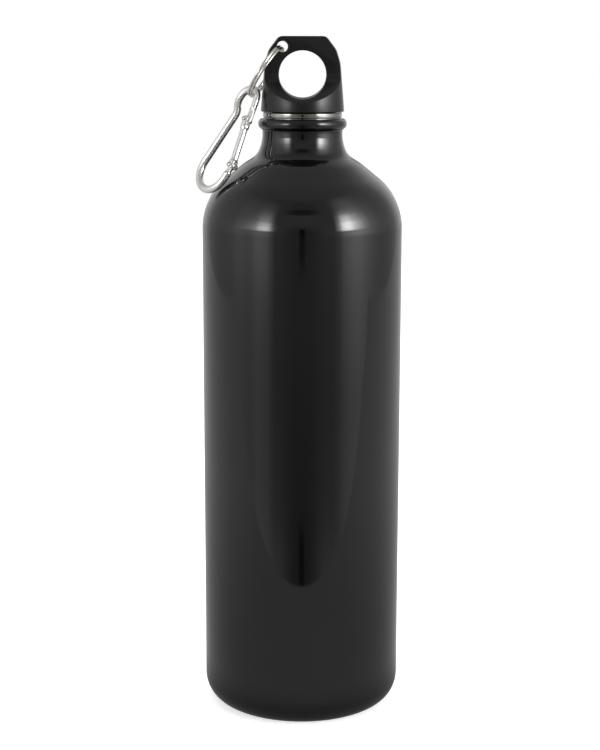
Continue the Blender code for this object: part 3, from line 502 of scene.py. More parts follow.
def plated_wire_finish():
    """Bright and slightly warm, with the marks of the drawn wire under the plating."""
    return new_finish(
        "spring steel wire, nickel plated", colours().nickel, (0.82, 1), (3 * MM, 4.0, 0.6),
        gloss=(0.3, 0.7, 0.12, 0.24), grain=(0.3 * MM, 2.0, 0.5), relief=(0.2, 0.006 * MM), Metallic=1.0,
        Roughness=0.18)


def steel_pin_finish():
    """Drawn and cut: cooler and a little duller than the aluminium round it."""
    return new_finish(
        "steel pin, drawn and headed", colours().steel, (0.85, 1), (3 * MM, 4.0, 0.6),
        gloss=(0.3, 0.7, 0.2, 0.34), grain=(0.25 * MM, 2.0, 0.5), relief=(0.2, 0.006 * MM), Metallic=1.0,
        Roughness=0.27)


# The shell, the insert and the cap

SLOPE = math.radians(37.4)
FOOT_RADIUS_DROP = 8.8 * MM
BASE_ROUND_HEIGHT = 10.6 * MM
BASE_TOP = 12 * MM
FOOT_WIDTH = 4.0 * MM
DOME_HEIGHT = 7.0 * MM
FLOOR = 1.6 * MM
WAIST_SLOPE = math.radians(66.0)
NECK_SLOPE = math.radians(32.0)
SIDE_SLOPE = math.radians(39.2)
FLARE_RADIUS = 23.4 * MM
FLARE_FILLET = 25.0 * MM
WAIST_RADIUS_GAIN = 2.26 * MM
WAIST_FILLET = 16.0 * MM
NECK_FILLET = 7.0 * MM
INNER_NECK_FILLET = 10.0 * MM
SHOULDER_FILLET = 25.0 * MM
BEAD_HEIGHT = 4.2 * MM
INSERT_WALL = 1.1 * MM
LIP_OVERHANG = 1.1 * MM
LIP_HEIGHT = 2.0 * MM
THREAD_DROP = 12.0 * MM
THREAD_TURNS = 1.75
RIDGE_RADIUS = 0.8 * MM


def quarter_round(wide, tall, foot_radius, top, steps=14):
    """A quarter of an ellipse from the side down to the foot."""
    turns = [math.pi / 2 * k / steps for k in range(steps + 1)]
    return [(foot_radius + wide * math.cos(a), top - tall * math.sin(a)) for a in turns]


def dome(radius, height, lift, steps=12):
    """The domed middle of the base from its rim to the axis, with a small sweep into the foot."""
    shares = [1 - k / steps for k in range(steps + 1)]
    return [(radius * s, lift + height * (1 - s * s)) for s in shares]


def shell_outline():
    s = sizes()
    foot = s.body_radius - FOOT_RADIUS_DROP
    flare = s.shoulder_height + math.tan(SIDE_SLOPE) * (s.body_radius - FLARE_RADIUS)
    waist_radius = s.neck_radius + WAIST_RADIUS_GAIN
    waist = flare + math.tan(NECK_SLOPE) * (FLARE_RADIUS - waist_radius)
    bead = s.neck_radius + 1.7 * MM
    bead_base = s.bead_top - BEAD_HEIGHT
    bore = s.neck_radius - s.wall
    drop = s.wall * math.cos(SLOPE)
    inward = s.wall * math.sin(SLOPE)

    def inner_cone(radius):
        return s.shoulder_height - drop + math.tan(SLOPE) * (s.body_radius - inward - radius)

    inner = s.body_radius - s.wall
    inside_base = quarter_round(FOOT_RADIUS_DROP - s.wall, BASE_ROUND_HEIGHT - FLOOR, foot, BASE_ROUND_HEIGHT)
    outside_base = quarter_round(FOOT_RADIUS_DROP, BASE_ROUND_HEIGHT, foot, BASE_ROUND_HEIGHT)
    inside = dome(foot - FOOT_WIDTH, DOME_HEIGHT, FLOOR)[::-1] + inside_base[::-1]
    inside += [
        (inner, inner_cone(inner), SHOULDER_FILLET - s.wall),
        (bore, inner_cone(bore), INNER_NECK_FILLET),
    ]
    outside = [
        (bore, s.bead_top, 0.25 * MM),
        (bead, s.bead_top, 1.9 * MM),
        (bead, bead_base, 1.9 * MM),
        (s.neck_radius, bead_base, 0.6 * MM),
        (s.neck_radius, waist + math.tan(WAIST_SLOPE) * WAIST_RADIUS_GAIN, WAIST_FILLET),
        (waist_radius, waist, NECK_FILLET),
        (FLARE_RADIUS, flare, FLARE_FILLET),
        (s.body_radius, s.shoulder_height, SHOULDER_FILLET),
    ]
    return inside + outside + outside_base + dome(foot - FOOT_WIDTH, DOME_HEIGHT, 0.0)


class BOTTLE_OT_shell(bpy.types.Operator):
    """Makes the drawn shell: foot, domed base, straight body, shoulder, neck and rolled bead"""

    bl_idname = "bottle.shell"
    bl_label = "Lacquered Shell"

    def execute(self, context):
        shell = turned_piece("lacquered_shell", shell_outline(), lacquer_finish())
        mesh = shell.data
        mesh.materials.append(lining_finish())
        # The lining is where the base's faces look up, and where the faces above it look towards the axis.
        for face in mesh.polygons:
            out = Vector((face.center.x, face.center.y, 0)).normalized().dot(face.normal)
            low = face.center.z < BASE_TOP
            if (low and face.normal.z > 0.05) or (not low and out < -0.05):
                face.material_index = 1
        set_on(shell, "bottle", "black_lacquer", "bottle_shell")
        return {"FINISHED"}


class BOTTLE_OT_thread_insert(bpy.types.Operator):
    """Makes the bare aluminium insert with its lip above the bead and the thread inside the neck"""

    bl_idname = "bottle.thread_insert"
    bl_label = "Thread Insert"

    def execute(self, context):
        s = sizes()
        metal = turned_aluminium_finish()
        outer = s.neck_radius - s.wall - GAP
        bore = outer - INSERT_WALL
        lip = outer + LIP_OVERHANG
        top, floor = LIP_BOX[1].z, LIP_BOX[0].z
        base = top - LIP_HEIGHT
        body = turned_piece("thread_insert", [
            (lip, top, 0.3 * MM), (lip, base, 0.4 * MM), (outer, base, 0), (outer, floor, 0.2 * MM),
            (bore, floor, 0.2 * MM), (bore, top, 0.5 * MM)], metal, closed=True)
        cut(body, thread_ridge("insert_thread", metal, bore - 0.2 * MM, base - THREAD_DROP), "UNION")
        set_on(refinished(body), "bottle", "bare_aluminium", "neck_thread_ring")
        return {"FINISHED"}


def refinished(piece, keep_angle=35):
    """The piece made anew from its mesh, welded and facing out."""
    mesh, name = piece.data, piece.name
    bpy.data.objects.remove(piece, do_unlink=True)
    return finished(name, mesh, keep_angle)


def softened(piece, width, angle, segments, keep_angle):
    """Small rounded edges all over a cut piece."""
    piece = refinished(piece)
    soft = piece.modifiers.new("Soft Edges", "BEVEL")
    soft.width = width
    soft.segments = segments
    soft.limit_method = "ANGLE"
    soft.angle_limit = math.radians(angle)
    apply_modifiers(piece)
    return refinished(piece, keep_angle)


# The cap's heights are measured up from its lower edge.
SKIRT_BORE = 15.5 * MM
SKIRT_CHAMFER = 0.3 * MM
SEAT_BORE = 12.8 * MM
SEAL_CEILING = 1.8 * MM
SEAT_CEILING = 3.7 * MM
SCOOP_RIM = 3.7 * MM
SCOOP_SLOPE = math.tan(math.radians(34.7))
PLATE_TOP_THICKNESS = 5.8 * MM
TOOL_ROOM = 3 * MM
LOOP_HOLE_FLOOR = 5.05 * MM
LOOP_HOLE_BRIDGE = 5.55 * MM
RING_HOLE_INSET = 8.55 * MM
RING_HOLE_DROP = 4.1 * MM
RING_HOLE = Vector((RING_HOLE_INSET - CAP_BOX[1].x, 0, CAP_BOX[1].z - RING_HOLE_DROP))
RING_HOLE_RADIUS = 2.15 * MM
RING_HOLE_BEVEL = 0.4 * MM
RING_HOLE_FACE = 2.9 * MM


def lying_at(x, z):
    """A place at a height on the plate whose Z axis lies along Y."""
    return Matrix.Translation((x, 0, z)) @ Matrix.Rotation(math.radians(90), 4, "X")


class BOTTLE_OT_cap(bpy.types.Operator):
    """Makes the screw cap: a turned skirt that rises into a flat plate with its carrying hole and ring hole"""

    bl_idname = "bottle.cap"
    bl_label = "Cap"

    def execute(self, context):
        s = sizes()
        foot = CAP_BOX[1].x
        base, top = s.cap_base, s.cap_top
        cap = turned_piece("cap", [
            (0, top), (foot - 7.1 * MM, top, 2.9 * MM), (foot - 3.1 * MM, top - 5.3 * MM, 6.0 * MM),
            (foot - 1.5 * MM, top - 10.4 * MM, 12.0 * MM), (foot, base + SKIRT_CHAMFER, 0),
            (foot - SKIRT_CHAMFER, base, 0), (SKIRT_BORE, base, 0), (SKIRT_BORE, base + SEAL_CEILING, 0),
            (SEAT_BORE, base + SEAL_CEILING, 0), (SEAT_BORE, base + SEAT_CEILING, 0),
            (0, base + SEAT_CEILING, 0)], cap_plastic_finish(), segments=160)
        # Each scoop leaves a plate that thins evenly from its foot to its top.
        far = foot + TOOL_ROOM
        rim = base + SCOOP_RIM
        foot_half = s.plate_thickness / 2
        plate_foot = rim + SCOOP_SLOPE * (foot - foot_half)
        thinning = (s.plate_thickness - PLATE_TOP_THICKNESS) / 2 / (top - plate_foot)
        top_half = foot_half - thinning * (top + TOOL_ROOM - plate_foot)
        scoop = [
            (far, rim - SCOOP_SLOPE * TOOL_ROOM, 0), (far, top + TOOL_ROOM, 0), (top_half, top + TOOL_ROOM, 0),
            (foot_half, plate_foot, 5.0 * MM)]
        for side in (-90, 90):
            turn = Matrix.Rotation(math.radians(side), 4, "Z") @ Matrix.Rotation(math.radians(90), 4, "X")
            cut(cap, extruded("scoop", filleted(scoop, 16), 2 * far, turn))
        hole = (top - base - LOOP_HOLE_FLOOR - LOOP_HOLE_BRIDGE) / 2
        centre = lying_at(0, base + LOOP_HOLE_FLOOR + hole)
        reach = 2 * far
        cut(cap, rod("loop", [(0, reach), (hole, reach), (hole, -reach), (0, -reach)], centre, 128))
        flare = RING_HOLE_RADIUS + RING_HOLE_BEVEL
        half_hole = [
            (0, reach), (flare + reach - RING_HOLE_FACE, reach), (flare, RING_HOLE_FACE),
            (RING_HOLE_RADIUS, RING_HOLE_FACE - RING_HOLE_BEVEL)]
        small_hole = half_hole + [(radius, -height) for radius, height in half_hole[::-1]]
        cut(cap, rod("small_hole", small_hole, lying_at(RING_HOLE.x, RING_HOLE.z), 48))
        set_on(softened(cap, 0.35 * MM, 32, 3, 50), "cap", "satin_black_plastic", "cap_body")
        return {"FINISHED"}


PLUG_CROWN = 3.4 * MM
PLUG_CROWN_THICKNESS = 1.2 * MM
PLUG_CROWN_RADIUS = 12.5 * MM
PLUG_RADIUS = 12.1 * MM
PLUG_BORE = 10.4 * MM
PLUG_DEPTH = 13.9 * MM
SEAL_OUTER = 15.2 * MM
SEAL_INNER = 12.4 * MM
SEAL_THICKNESS = 1.5 * MM
SEAL_GROOVE = 0.25 * MM


class BOTTLE_OT_plug_and_seal(bpy.types.Operator):
    """Makes the threaded plug under the cap and the silicone seal round it"""

    bl_idname = "bottle.plug_and_seal"
    bl_label = "Plug and Seal"

    def execute(self, context):
        s = sizes()
        plastic = plug_plastic_finish()
        ceiling = s.cap_base + SEAL_CEILING
        crown = s.cap_base + PLUG_CROWN
        floor = s.cap_base - PLUG_DEPTH
        plug = turned_piece("plug", [
            (0, crown), (PLUG_CROWN_RADIUS, crown, 0), (PLUG_CROWN_RADIUS, ceiling, 0),
            (PLUG_RADIUS, ceiling, 0), (PLUG_RADIUS, floor, 0.6 * MM), (PLUG_BORE, floor, 0.6 * MM),
            (PLUG_BORE, crown - PLUG_CROWN_THICKNESS, 1.7 * MM), (0, crown - PLUG_CROWN_THICKNESS)], plastic)
        base = LIP_BOX[1].z - LIP_HEIGHT - THREAD_DROP + s.thread_pitch / 2
        cut(plug, thread_ridge("plug_thread", plastic, PLUG_RADIUS + 0.2 * MM, base), "UNION")
        set_on(refinished(plug), "cap", "black_plastic", "cap_plug")
        low, high = s.cap_base, s.cap_base + SEAL_THICKNESS
        raised = low + SEAL_GROOVE
        seal = turned_piece("seal", [
            (SEAL_OUTER, high, 0.3 * MM), (SEAL_OUTER, low, 0.3 * MM), (14.4 * MM, low, 0.2 * MM),
            (14.1 * MM, raised, 0.2 * MM), (13.5 * MM, raised, 0.2 * MM), (13.2 * MM, low, 0.2 * MM),
            (SEAL_INNER, low, 0.3 * MM), (SEAL_INNER, high, 0.3 * MM)], silicone_finish(), closed=True)
        set_on(seal, "seal", "white_silicone", "cap_seal")
        return {"FINISHED"}


# The split ring and the carabiner

RING_LEAN = math.radians(33.0)
RING_TURN = math.radians(9.5)
RING_HANG = 0.35 * MM
RING_SIDE_SHIFT = 0.15 * MM
WIRE_RADIUS = 0.35 * MM
COIL_GAP = 0.42 * MM
WIRE_START = math.radians(30)
# The wire's length and its joggle, in degrees along it.
WIRE_TURN = 690
JOGGLE = (330, 360)


def ring_place():
    """The split ring's matrix at rest: its centre, and its plane's normal as Z."""
    hang = Vector((-math.sin(RING_LEAN), 0, -math.cos(RING_LEAN)))
    across = Vector((math.cos(RING_LEAN), 0, -math.sin(RING_LEAN)))
    along = Vector((0, 1, 0)) * math.cos(RING_TURN) + across * math.sin(RING_TURN)
    normal = hang.cross(along)
    centre = RING_HOLE + hang * (RING_HANG + sizes().ring_radius) - across * RING_SIDE_SHIFT
    place = Matrix((along, -hang, normal)).transposed().to_4x4()
    place.translation = centre
    return place


class BOTTLE_OT_split_ring(bpy.types.Operator):
    """Makes the split ring: two coils of plated wire side by side, joined by one joggle"""

    bl_idname = "bottle.split_ring"
    bl_label = "Split Ring"

    def execute(self, context):
        half_gap = WIRE_RADIUS + COIL_GAP / 2
        ring = wound_piece(
            "split_ring_wire", plated_wire_finish(), WIRE_TURN / 360, 0.0, sizes().ring_radius,
            half_gap - 0.03 * MM, WIRE_RADIUS + 0.05 * MM, 96, step=2 * half_gap,
            step_start=JOGGLE[0] / WIRE_TURN, step_end=JOGGLE[1] / WIRE_TURN, taper=0.004)
        ring.data.transform(ring_place() @ Matrix.Rotation(WIRE_START, 4, "Z"))
        ring.data.update()
        set_on(ring, "ring", "plated_spring_steel", "split_ring")
        return {"FINISHED"}


# The carabiner's rest in the frame: its head's centre, and how it is turned, leant forward and swung out.
CARABINER_HEAD = Vector((-21.824 * MM, -1.554 * MM, 246.917 * MM))
CARABINER_TURN = 52.4
CARABINER_FORWARD_LEAN = 12.4
CARABINER_SWING = 23.951
HEAD_RADIUS = 5.3 * MM
HEEL_RADIUS = 8.4 * MM
HEEL_CENTRE = Vector((-1.56 * MM, -29.9 * MM))
SPINE_SLANT = 16.6
WAIST_RADIUS = 4.0 * MM
HEEL_END_ANGLE = 15.0
NOSE_ANGLE = 5.0
NOSE_RADIUS = 1.25 * MM
BLADE_THICKNESS = 1.2 * MM
BLADE_HALF_WIDTH = 1.5 * MM
BLADE_START = 3.0 * MM
BLADE_END = 9.0 * MM
TONGUE_HALF_WIDTH = 1.25 * MM
TONGUE_TIP = 1.0 * MM
TONGUE_STEPS = 44
TIP_STEPS = 8
PIVOT_RISE = 5.6 * MM
BAR_END_TO_PIVOT = 2.8 * MM
LATCH_DROP = 7.9 * MM
LATCH_INSET = 1.15 * MM
PIN_RADIUS = 0.5 * MM
PIN_TO_TIP = 1.6 * MM
GATE_RADIUS = 1.4 * MM
FORK_RADIUS = 1.75 * MM
FORK_TAIL = 1.7 * MM
FORK_LENGTH = 4.8 * MM
TAIL_SLOT_DEPTH = 2.2 * MM
SLOT_ROOM = 0.35 * MM
BORE_RADIUS = 0.85 * MM
PLUNGER_RADIUS = 0.55 * MM
PLUNGER_LENGTH = 2.3 * MM
PLUNGER_TRAVEL = 0.3 * MM
PLUNGER_BASE = TONGUE_TIP + GAP
SPRING_RADIUS = 0.4 * MM
SPRING_WIRE_RADIUS = 0.15 * MM
SPRING_PITCH = 0.78 * MM
SPRING_CURLS = 9
SPRING_BASE = PLUNGER_BASE + PLUNGER_LENGTH + PLUNGER_TRAVEL + GAP
ALONG_GATE = Matrix.Rotation(math.radians(-90), 4, "X")


def carabiner_place():
    """The carabiner's matrix at rest, from its own plane, whose Y is up."""
    place = Matrix.Rotation(math.radians(90), 4, "X")
    for degrees, axis in ((-CARABINER_TURN, "Z"), (-CARABINER_FORWARD_LEAN, "X"), (CARABINER_SWING, "Y")):
        place = Matrix.Rotation(math.radians(degrees), 4, axis) @ place
    return Matrix.Translation(CARABINER_HEAD) @ place


CARABINER = carabiner_place()


def unit(degrees):
    """The unit vector at an angle from the carabiner's upward axis, positive to the spine's side."""
    return Vector((-math.sin(math.radians(degrees)), math.cos(math.radians(degrees))))


def heel_end():
    angle = math.radians(-HEEL_END_ANGLE)
    return HEEL_CENTRE + Vector((math.cos(angle), math.sin(angle))) * HEEL_RADIUS


def pivot_point():
    return heel_end() + unit(-HEEL_END_ANGLE) * PIVOT_RISE


def nose_top():
    angle = math.radians(NOSE_ANGLE)
    return Vector((math.cos(angle), math.sin(angle))) * HEAD_RADIUS


NOSE_DOWN = unit(180 + NOSE_ANGLE)
NOSE_ACROSS = Vector((-NOSE_DOWN.y, NOSE_DOWN.x))


def latch_point():
    return nose_top() + NOSE_DOWN * LATCH_DROP - NOSE_ACROSS * LATCH_INSET


def arc_points(centre, radius, start, sweep, steps):
    angles = [math.radians(start + sweep * k / steps) for k in range(steps + 1)]
    return [Vector((centre[0] + radius * math.cos(a), centre[1] + radius * math.sin(a))) for a in angles]


def line_points(start, end, steps):
    return [start + (end - start) * k / steps for k in range(steps + 1)]


def smooth_step(value, low, high):
    share = min(max((value - low) / (high - low), 0), 1)
    return share * share * (3 - 2 * share)


def bar_line():
    """The bar's centre line in its own plane, from the nose's tip over the head and down to the tongue."""
    spine_up = unit(-SPINE_SLANT)
    outward = Vector((-spine_up.y, spine_up.x))
    offset = (HEEL_CENTRE + outward * (HEEL_RADIUS + WAIST_RADIUS)).dot(outward)
    along = math.sqrt((HEAD_RADIUS + WAIST_RADIUS) ** 2 - offset ** 2)
    waist = outward * offset - spine_up * along
    waist_angle = math.degrees(math.atan2(waist.y, waist.x)) % 360
    spine_angle = math.degrees(math.atan2(outward.y, outward.x)) % 360
    head = arc_points((0, 0), HEAD_RADIUS, NOSE_ANGLE, waist_angle - NOSE_ANGLE, 56)
    bend = arc_points(waist, WAIST_RADIUS, waist_angle - 180, spine_angle - waist_angle, 12)
    heel = arc_points(HEEL_CENTRE, HEEL_RADIUS, spine_angle, 360 - HEEL_END_ANGLE - spine_angle, 64)
    nose = line_points(nose_top() + NOSE_DOWN * BLADE_END, nose_top(), 60)[:-1]
    spine = line_points(bend[-1], heel[0], 30)[1:-1]
    tip = pivot_point()
    gate_up = (latch_point() - tip).normalized()
    tongue = line_points(heel[-1], tip, TONGUE_STEPS)[1:]
    tongue += line_points(tip, tip + gate_up * TONGUE_TIP, TIP_STEPS)[1:]
    return nose + head + bend[1:] + spine + heel + tongue, len(nose), len(tongue)


def swept(name, line, halves, sides=32):
    """A closed bar in its own plane. Each point has its half width in the plane, its half thickness across it
    and how square its section is, from 2 for an ellipse upward."""
    rings = []
    for i, here in enumerate(line):
        before, after = line[max(i - 1, 0)], line[min(i + 1, len(line) - 1)]
        way = (after - before).normalized()
        side = Vector((way.y, -way.x))
        wide, thick, power = halves[i]
        ring = []
        for k in range(sides):
            a = 2 * math.pi * k / sides
            c, s = math.cos(a), math.sin(a)
            x = math.copysign(abs(c) ** (2 / power), c) * wide
            y = math.copysign(abs(s) ** (2 / power), s) * thick
            ring.append((here.x + side.x * x, here.y + side.y * x, y))
        rings.append(ring)
    places = [p for ring in rings for p in ring]
    faces = []
    for i in range(len(rings) - 1):
        for k in range(sides):
            a, b = i * sides + k, i * sides + (k + 1) % sides
            faces.append((a, b, b + sides, a + sides))
    for i, turn in ((0, -1), (len(rings) - 1, 1)):
        faces.append(tuple(range(i * sides, (i + 1) * sides))[::turn])
    mesh = bpy.data.meshes.new(name)
    mesh.from_pydata(places, [], faces)
    return finished(name, mesh)


def place_in_plane(point, way=Vector((0, 1))):
    """A matrix at a point of the carabiner's plane, its Y along a direction and its Z along the normal."""
    return Matrix((
        (way.y, way.x, 0, point.x), (-way.x, way.y, 0, point.y), (0, 0, 1, 0), (0, 0, 0, 1)))


def through_rod(point, radius):
    """A tool that bores through the carabiner's plane at a point."""
    far = 6 * MM
    return rod("through", [(0, far), (radius, far), (radius, -far), (0, -far)], place_in_plane(point))


def slot_tool(name, start, end, half_width, depth_half, way):
    """A tool from start to end along a way in the plane, with a round end at end."""
    side = Vector((way.y, -way.x))
    turn = math.degrees(math.atan2(side.y, side.x))
    rounded = arc_points(end, half_width, turn, 180, 16)
    outline = [start + side * half_width] + rounded + [start - side * half_width]
    return extruded(name, [(p.x, p.y) for p in outline], 2 * depth_half, Matrix.Identity(4))


def nose_section(share):
    """Half width, half thickness and squareness at a share of the nose, from its flat tip to the round bar."""
    run = BLADE_END * share
    round_start = BLADE_END - BLADE_START
    flat = 1 - smooth_step(run, round_start - 1.2 * MM, round_start + 0.6 * MM)
    tip = smooth_step(run, -0.05 * MM, 0.5 * MM)
    wide = NOSE_RADIUS + (BLADE_HALF_WIDTH - NOSE_RADIUS) * flat
    thick = NOSE_RADIUS + (BLADE_THICKNESS / 2 - NOSE_RADIUS) * flat
    return wide * (0.72 + 0.28 * tip), thick * (0.7 + 0.3 * tip), 2 + 4 * flat


def tongue_section(run, bar):
    """The same at a distance from the heel's end: a round bar, a flat tongue and its tip round the pivot."""
    flat_start = PIVOT_RISE - BAR_END_TO_PIVOT
    flat = smooth_step(run, flat_start - 0.9 * MM, flat_start + 0.35 * MM)
    wide = bar + (TONGUE_HALF_WIDTH - bar) * flat
    thick = bar + (BLADE_THICKNESS / 2 - bar) * flat
    past = max(run - PIVOT_RISE, 0)
    wide = math.sqrt(max(wide ** 2 - past ** 2 * 1.3, (0.3 * MM) ** 2))
    return wide, thick, 2 + 4 * flat


class BOTTLE_OT_carabiner_frame(bpy.types.Operator):
    """Makes the carabiner's bent bar, flattened into the notched nose and the hinge tongue"""

    bl_idname = "bottle.carabiner_frame"
    bl_label = "Carabiner Frame"

    def execute(self, context):
        bar = sizes().bar_radius
        line, nose_count, tongue_count = bar_line()
        tongue_start = len(line) - tongue_count
        halves = [nose_section(i / nose_count) for i in range(nose_count)]
        for i in range(tongue_start - nose_count):
            radius = NOSE_RADIUS + (bar - NOSE_RADIUS) * smooth_step(i / 14, 0, 1)
            halves.append((radius, radius, 2))
        for i in range(1, tongue_count + 1):
            past = max(i - TONGUE_STEPS, 0)
            run = PIVOT_RISE * (i - past) / TONGUE_STEPS + TONGUE_TIP * past / TIP_STEPS
            halves.append(tongue_section(run, bar))
        frame_bar = swept("carabiner_bar", line, halves)
        frame_bar.data.materials.append(polished_bar_finish())
        latch, tip = latch_point(), pivot_point()
        gate_up = (latch - tip).normalized()
        across = Vector((gate_up.y, -gate_up.x))
        room = PIN_RADIUS + SLOT_ROOM
        cut(frame_bar, slot_tool("notch", latch - across * 4 * MM, latch, room, 3 * MM, across))
        cut(frame_bar, through_rod(tip, PIN_RADIUS + GAP))
        frame_bar = refinished(frame_bar, 45)
        frame_bar.data.transform(CARABINER)
        set_on(frame_bar, "carabiner", "polished_aluminium", "carabiner_frame")
        return {"FINISHED"}


def gate_place(distance):
    """A matrix on the gate's centre line, its Y up along the gate."""
    tip = pivot_point()
    way = (latch_point() - tip).normalized()
    return place_in_plane(tip + way * distance, way)


def end_round(distance, reach, depth):
    """The share of a bar's radius at a distance from its end, rounded over a reach by a depth from 0 to 1."""
    share = 1 - min(distance / reach, 1)
    return math.sqrt(max(1 - share * share * depth, 0.03))


class BOTTLE_OT_carabiner_gate(bpy.types.Operator):
    """Makes the gate: a round bar with a fork at each end, bored for its spring"""

    bl_idname = "bottle.carabiner_gate"
    bl_label = "Carabiner Gate"

    def execute(self, context):
        length = (latch_point() - pivot_point()).length + PIN_TO_TIP
        taper = FORK_RADIUS * 0.6
        stops = line_points(Vector((0, -FORK_TAIL)), Vector((0, length)), 150)
        halves = []
        for stop in stops:
            run = stop.y
            low = 1 - smooth_step(run, FORK_TAIL, FORK_TAIL + taper)
            high = smooth_step(run, length - FORK_LENGTH - taper, length - FORK_LENGTH)
            radius = GATE_RADIUS + (FORK_RADIUS - GATE_RADIUS) * max(low, high)
            radius *= end_round(FORK_TAIL + run, 1.3 * MM, 0.97) * end_round(length - run, 0.78 * MM, 0.6)
            halves.append((radius, radius, 2))
        gate = swept("gate_bar", stops, halves, 40)
        gate.data.materials.append(polished_bar_finish())
        far = 8 * MM
        fork = length - FORK_LENGTH + taper / 2
        for low, high in ((-far, TAIL_SLOT_DEPTH), (fork, length + far)):
            outline = [(-far, low), (far, low), (far, high), (-far, high)]
            cut(gate, extruded("slot", outline, BLADE_THICKNESS + 2 * SLOT_ROOM, Matrix.Identity(4)))
        bore_end = SPRING_BASE + SPRING_CURLS * SPRING_PITCH + 2 * SPRING_WIRE_RADIUS + GAP
        bore = [(0, bore_end), (BORE_RADIUS, bore_end), (BORE_RADIUS, 1.2 * MM), (0, 1.2 * MM)]
        cut(gate, rod("bore", bore, ALONG_GATE))
        for distance in (0, length - PIN_TO_TIP):
            cut(gate, through_rod(Vector((0, distance)), PIN_RADIUS + GAP))
        gate = softened(gate, 0.1 * MM, 30, 2, 45)
        gate.data.transform(CARABINER @ gate_place(0))
        set_on(gate, "gate", "polished_aluminium", "carabiner_gate")
        return {"FINISHED"}


def headed_pin(name, point, head, body, node):
    """A pin with a rounded head at each end, through a fork."""
    grip = FORK_RADIUS + GAP
    half = [
        (0, grip + 0.4 * MM), (head * 0.5, grip + 0.4 * MM, 0.3 * MM), (head, grip + 0.14 * MM, 0.12 * MM),
        (head, grip, 0), (PIN_RADIUS, grip, 0)]
    corners = half + [(radius, -height, *fillet) for radius, height, *fillet in half[::-1]]
    pin = turned_piece(name, corners, steel_pin_finish(), segments=40)
    pin.data.transform(CARABINER @ place_in_plane(point))
    set_on(pin, body, "bright_steel", node)


class BOTTLE_OT_pins_and_spring(bpy.types.Operator):
    """Makes the gate's rivet, latch pin, plunger and coil spring"""

    bl_idname = "bottle.pins_and_spring"
    bl_label = "Pins and Spring"

    def execute(self, context):
        steel = steel_pin_finish()
        headed_pin("rivet", pivot_point(), 1.0 * MM, "carabiner", "gate_rivet")
        headed_pin("latch_cross_pin", latch_point(), 0.8 * MM, "gate", "latch_pin")
        plunger = turned_piece("plunger", [
            (0, PLUNGER_LENGTH), (PLUNGER_RADIUS, PLUNGER_LENGTH, 0.08 * MM), (PLUNGER_RADIUS, 0, 0.35 * MM),
            (0, 0)], steel, segments=40)
        plunger.data.transform(CARABINER @ gate_place(PLUNGER_BASE) @ ALONG_GATE)
        set_on(plunger, "gate", "bright_steel", "gate_plunger")
        wire = SPRING_WIRE_RADIUS
        spring = wound_piece(
            "spring", steel, SPRING_CURLS, SPRING_PITCH, SPRING_RADIUS, wire, wire, 24, taper=0.01, base=wire)
        spring.data.transform(CARABINER @ gate_place(SPRING_BASE) @ ALONG_GATE)
        set_on(spring, "gate", "bright_steel", "gate_spring")
        return {"FINISHED"}


# The studio

FLOOR_FRONT = -0.203
CAMERA_PLACE = (-0.00076, -0.6736, 0.269)
CAMERA_PITCH = 0.1941
CAMERA_ROLL = math.radians(0.12)

# Each light is a soft box or panel: the share of its strength at angles across it, in degrees to the right of
# the camera, and its strength at angles up from the horizon.
LEFT_BOX = (
    ((-85, 0), (-75, 0.04), (-65, 0.13), (-56, 0.3), (-49, 0.85), (-43, 1), (-37, 0.55), (-31, 0.04),
     (-27, 0)),
    ((3, 0), (6, 8.5), (8, 9), (12, 7.2), (16, 5.4), (20, 2.8), (24, 2), (30, 1), (36, 0.3), (42, 0)))
RIGHT_BOX = (
    ((38, 0), (43, 0.2), (49, 0.85), (54, 1), (60, 0.7), (66, 0.36), (75, 0.1), (85, 0)),
    ((3, 0), (6, 14), (9, 16), (15, 16), (18, 12), (22, 9), (27, 6), (32, 1.8), (37, 0.5), (42, 0)))
LEFT_PANEL = (
    ((-110, 0), (-90, 0.2), (-75, 0.5), (-65, 0.5), (-56, 0.8), (-49, 1), (-43, 0.9), (-37, 0.5), (-31, 0)),
    ((-20, 0.3), (-14, 0.3), (-10, 0.4), (-6, 1.05), (0, 1.4), (10, 1), (20, 0.8), (30, 0.6), (37, 0.5),
     (55, 0)))
RIGHT_PANEL = (
    ((36, 0), (43, 0.2), (49, 0.6), (56, 0.85), (65, 1), (75, 0.75), (87, 0.35), (102, 0.08), (115, 0)),
    ((-20, 0.4), (-14, 0.4), (-10, 0.65), (-6, 1.4), (0, 2.6), (5, 2.6), (30, 1.5), (40, 1), (50, 0.6),
     (60, 0)))
BACK_PANELS = (
    ((-180, 1), (-150, 1), (-125, 0), (125, 0), (150, 1), (180, 1)),
    ((-20, 0), (-12, 0.15), (0, 0.3), (20, 0.35), (40, 0.1), (60, 0)))
# What lies between the lights, as strengths at angles up from the horizon: straight behind the camera, beside
# it, and round to the sides. BACK_GAP is how dark it is straight behind the object, and GAP_DEPTH how dark the
# narrow slit behind the camera is.
CENTRE = (
    (-21, 0.12), (-16, 0.16), (-12, 0.2), (-8, 0.24), (0, 0.22), (8, 0.27), (14, 0.36), (20, 0.42), (31, 0.44),
    (35, 0.13), (41, 0.09), (44, 0.24), (56, 0.32), (64, 0.43))
NEAR = (
    (-19, 0.5), (-15, 0.32), (-12, 0.31), (-6, 0.4), (10, 0.48), (20, 0.42), (36, 0.4), (56, 0.36), (64, 0.43))
SIDES = ((-19, 0.5), (-12, 0.47), (0, 0.58), (8, 0.63), (20, 0.6), (40, 0.56), (56, 0.45), (64, 0.43))
BACK_GAP = ((1, 0), (9, 0.85), (16, 0.8), (30, 0.3), (48, 0))
GAP_DEPTH = (
    (-20, 0.9), (-18.5, 0.9), (-17, 0), (-8, 0), (-6.5, 0.7), (0, 0.95), (6, 0.95), (9, 0.4), (12, 0))


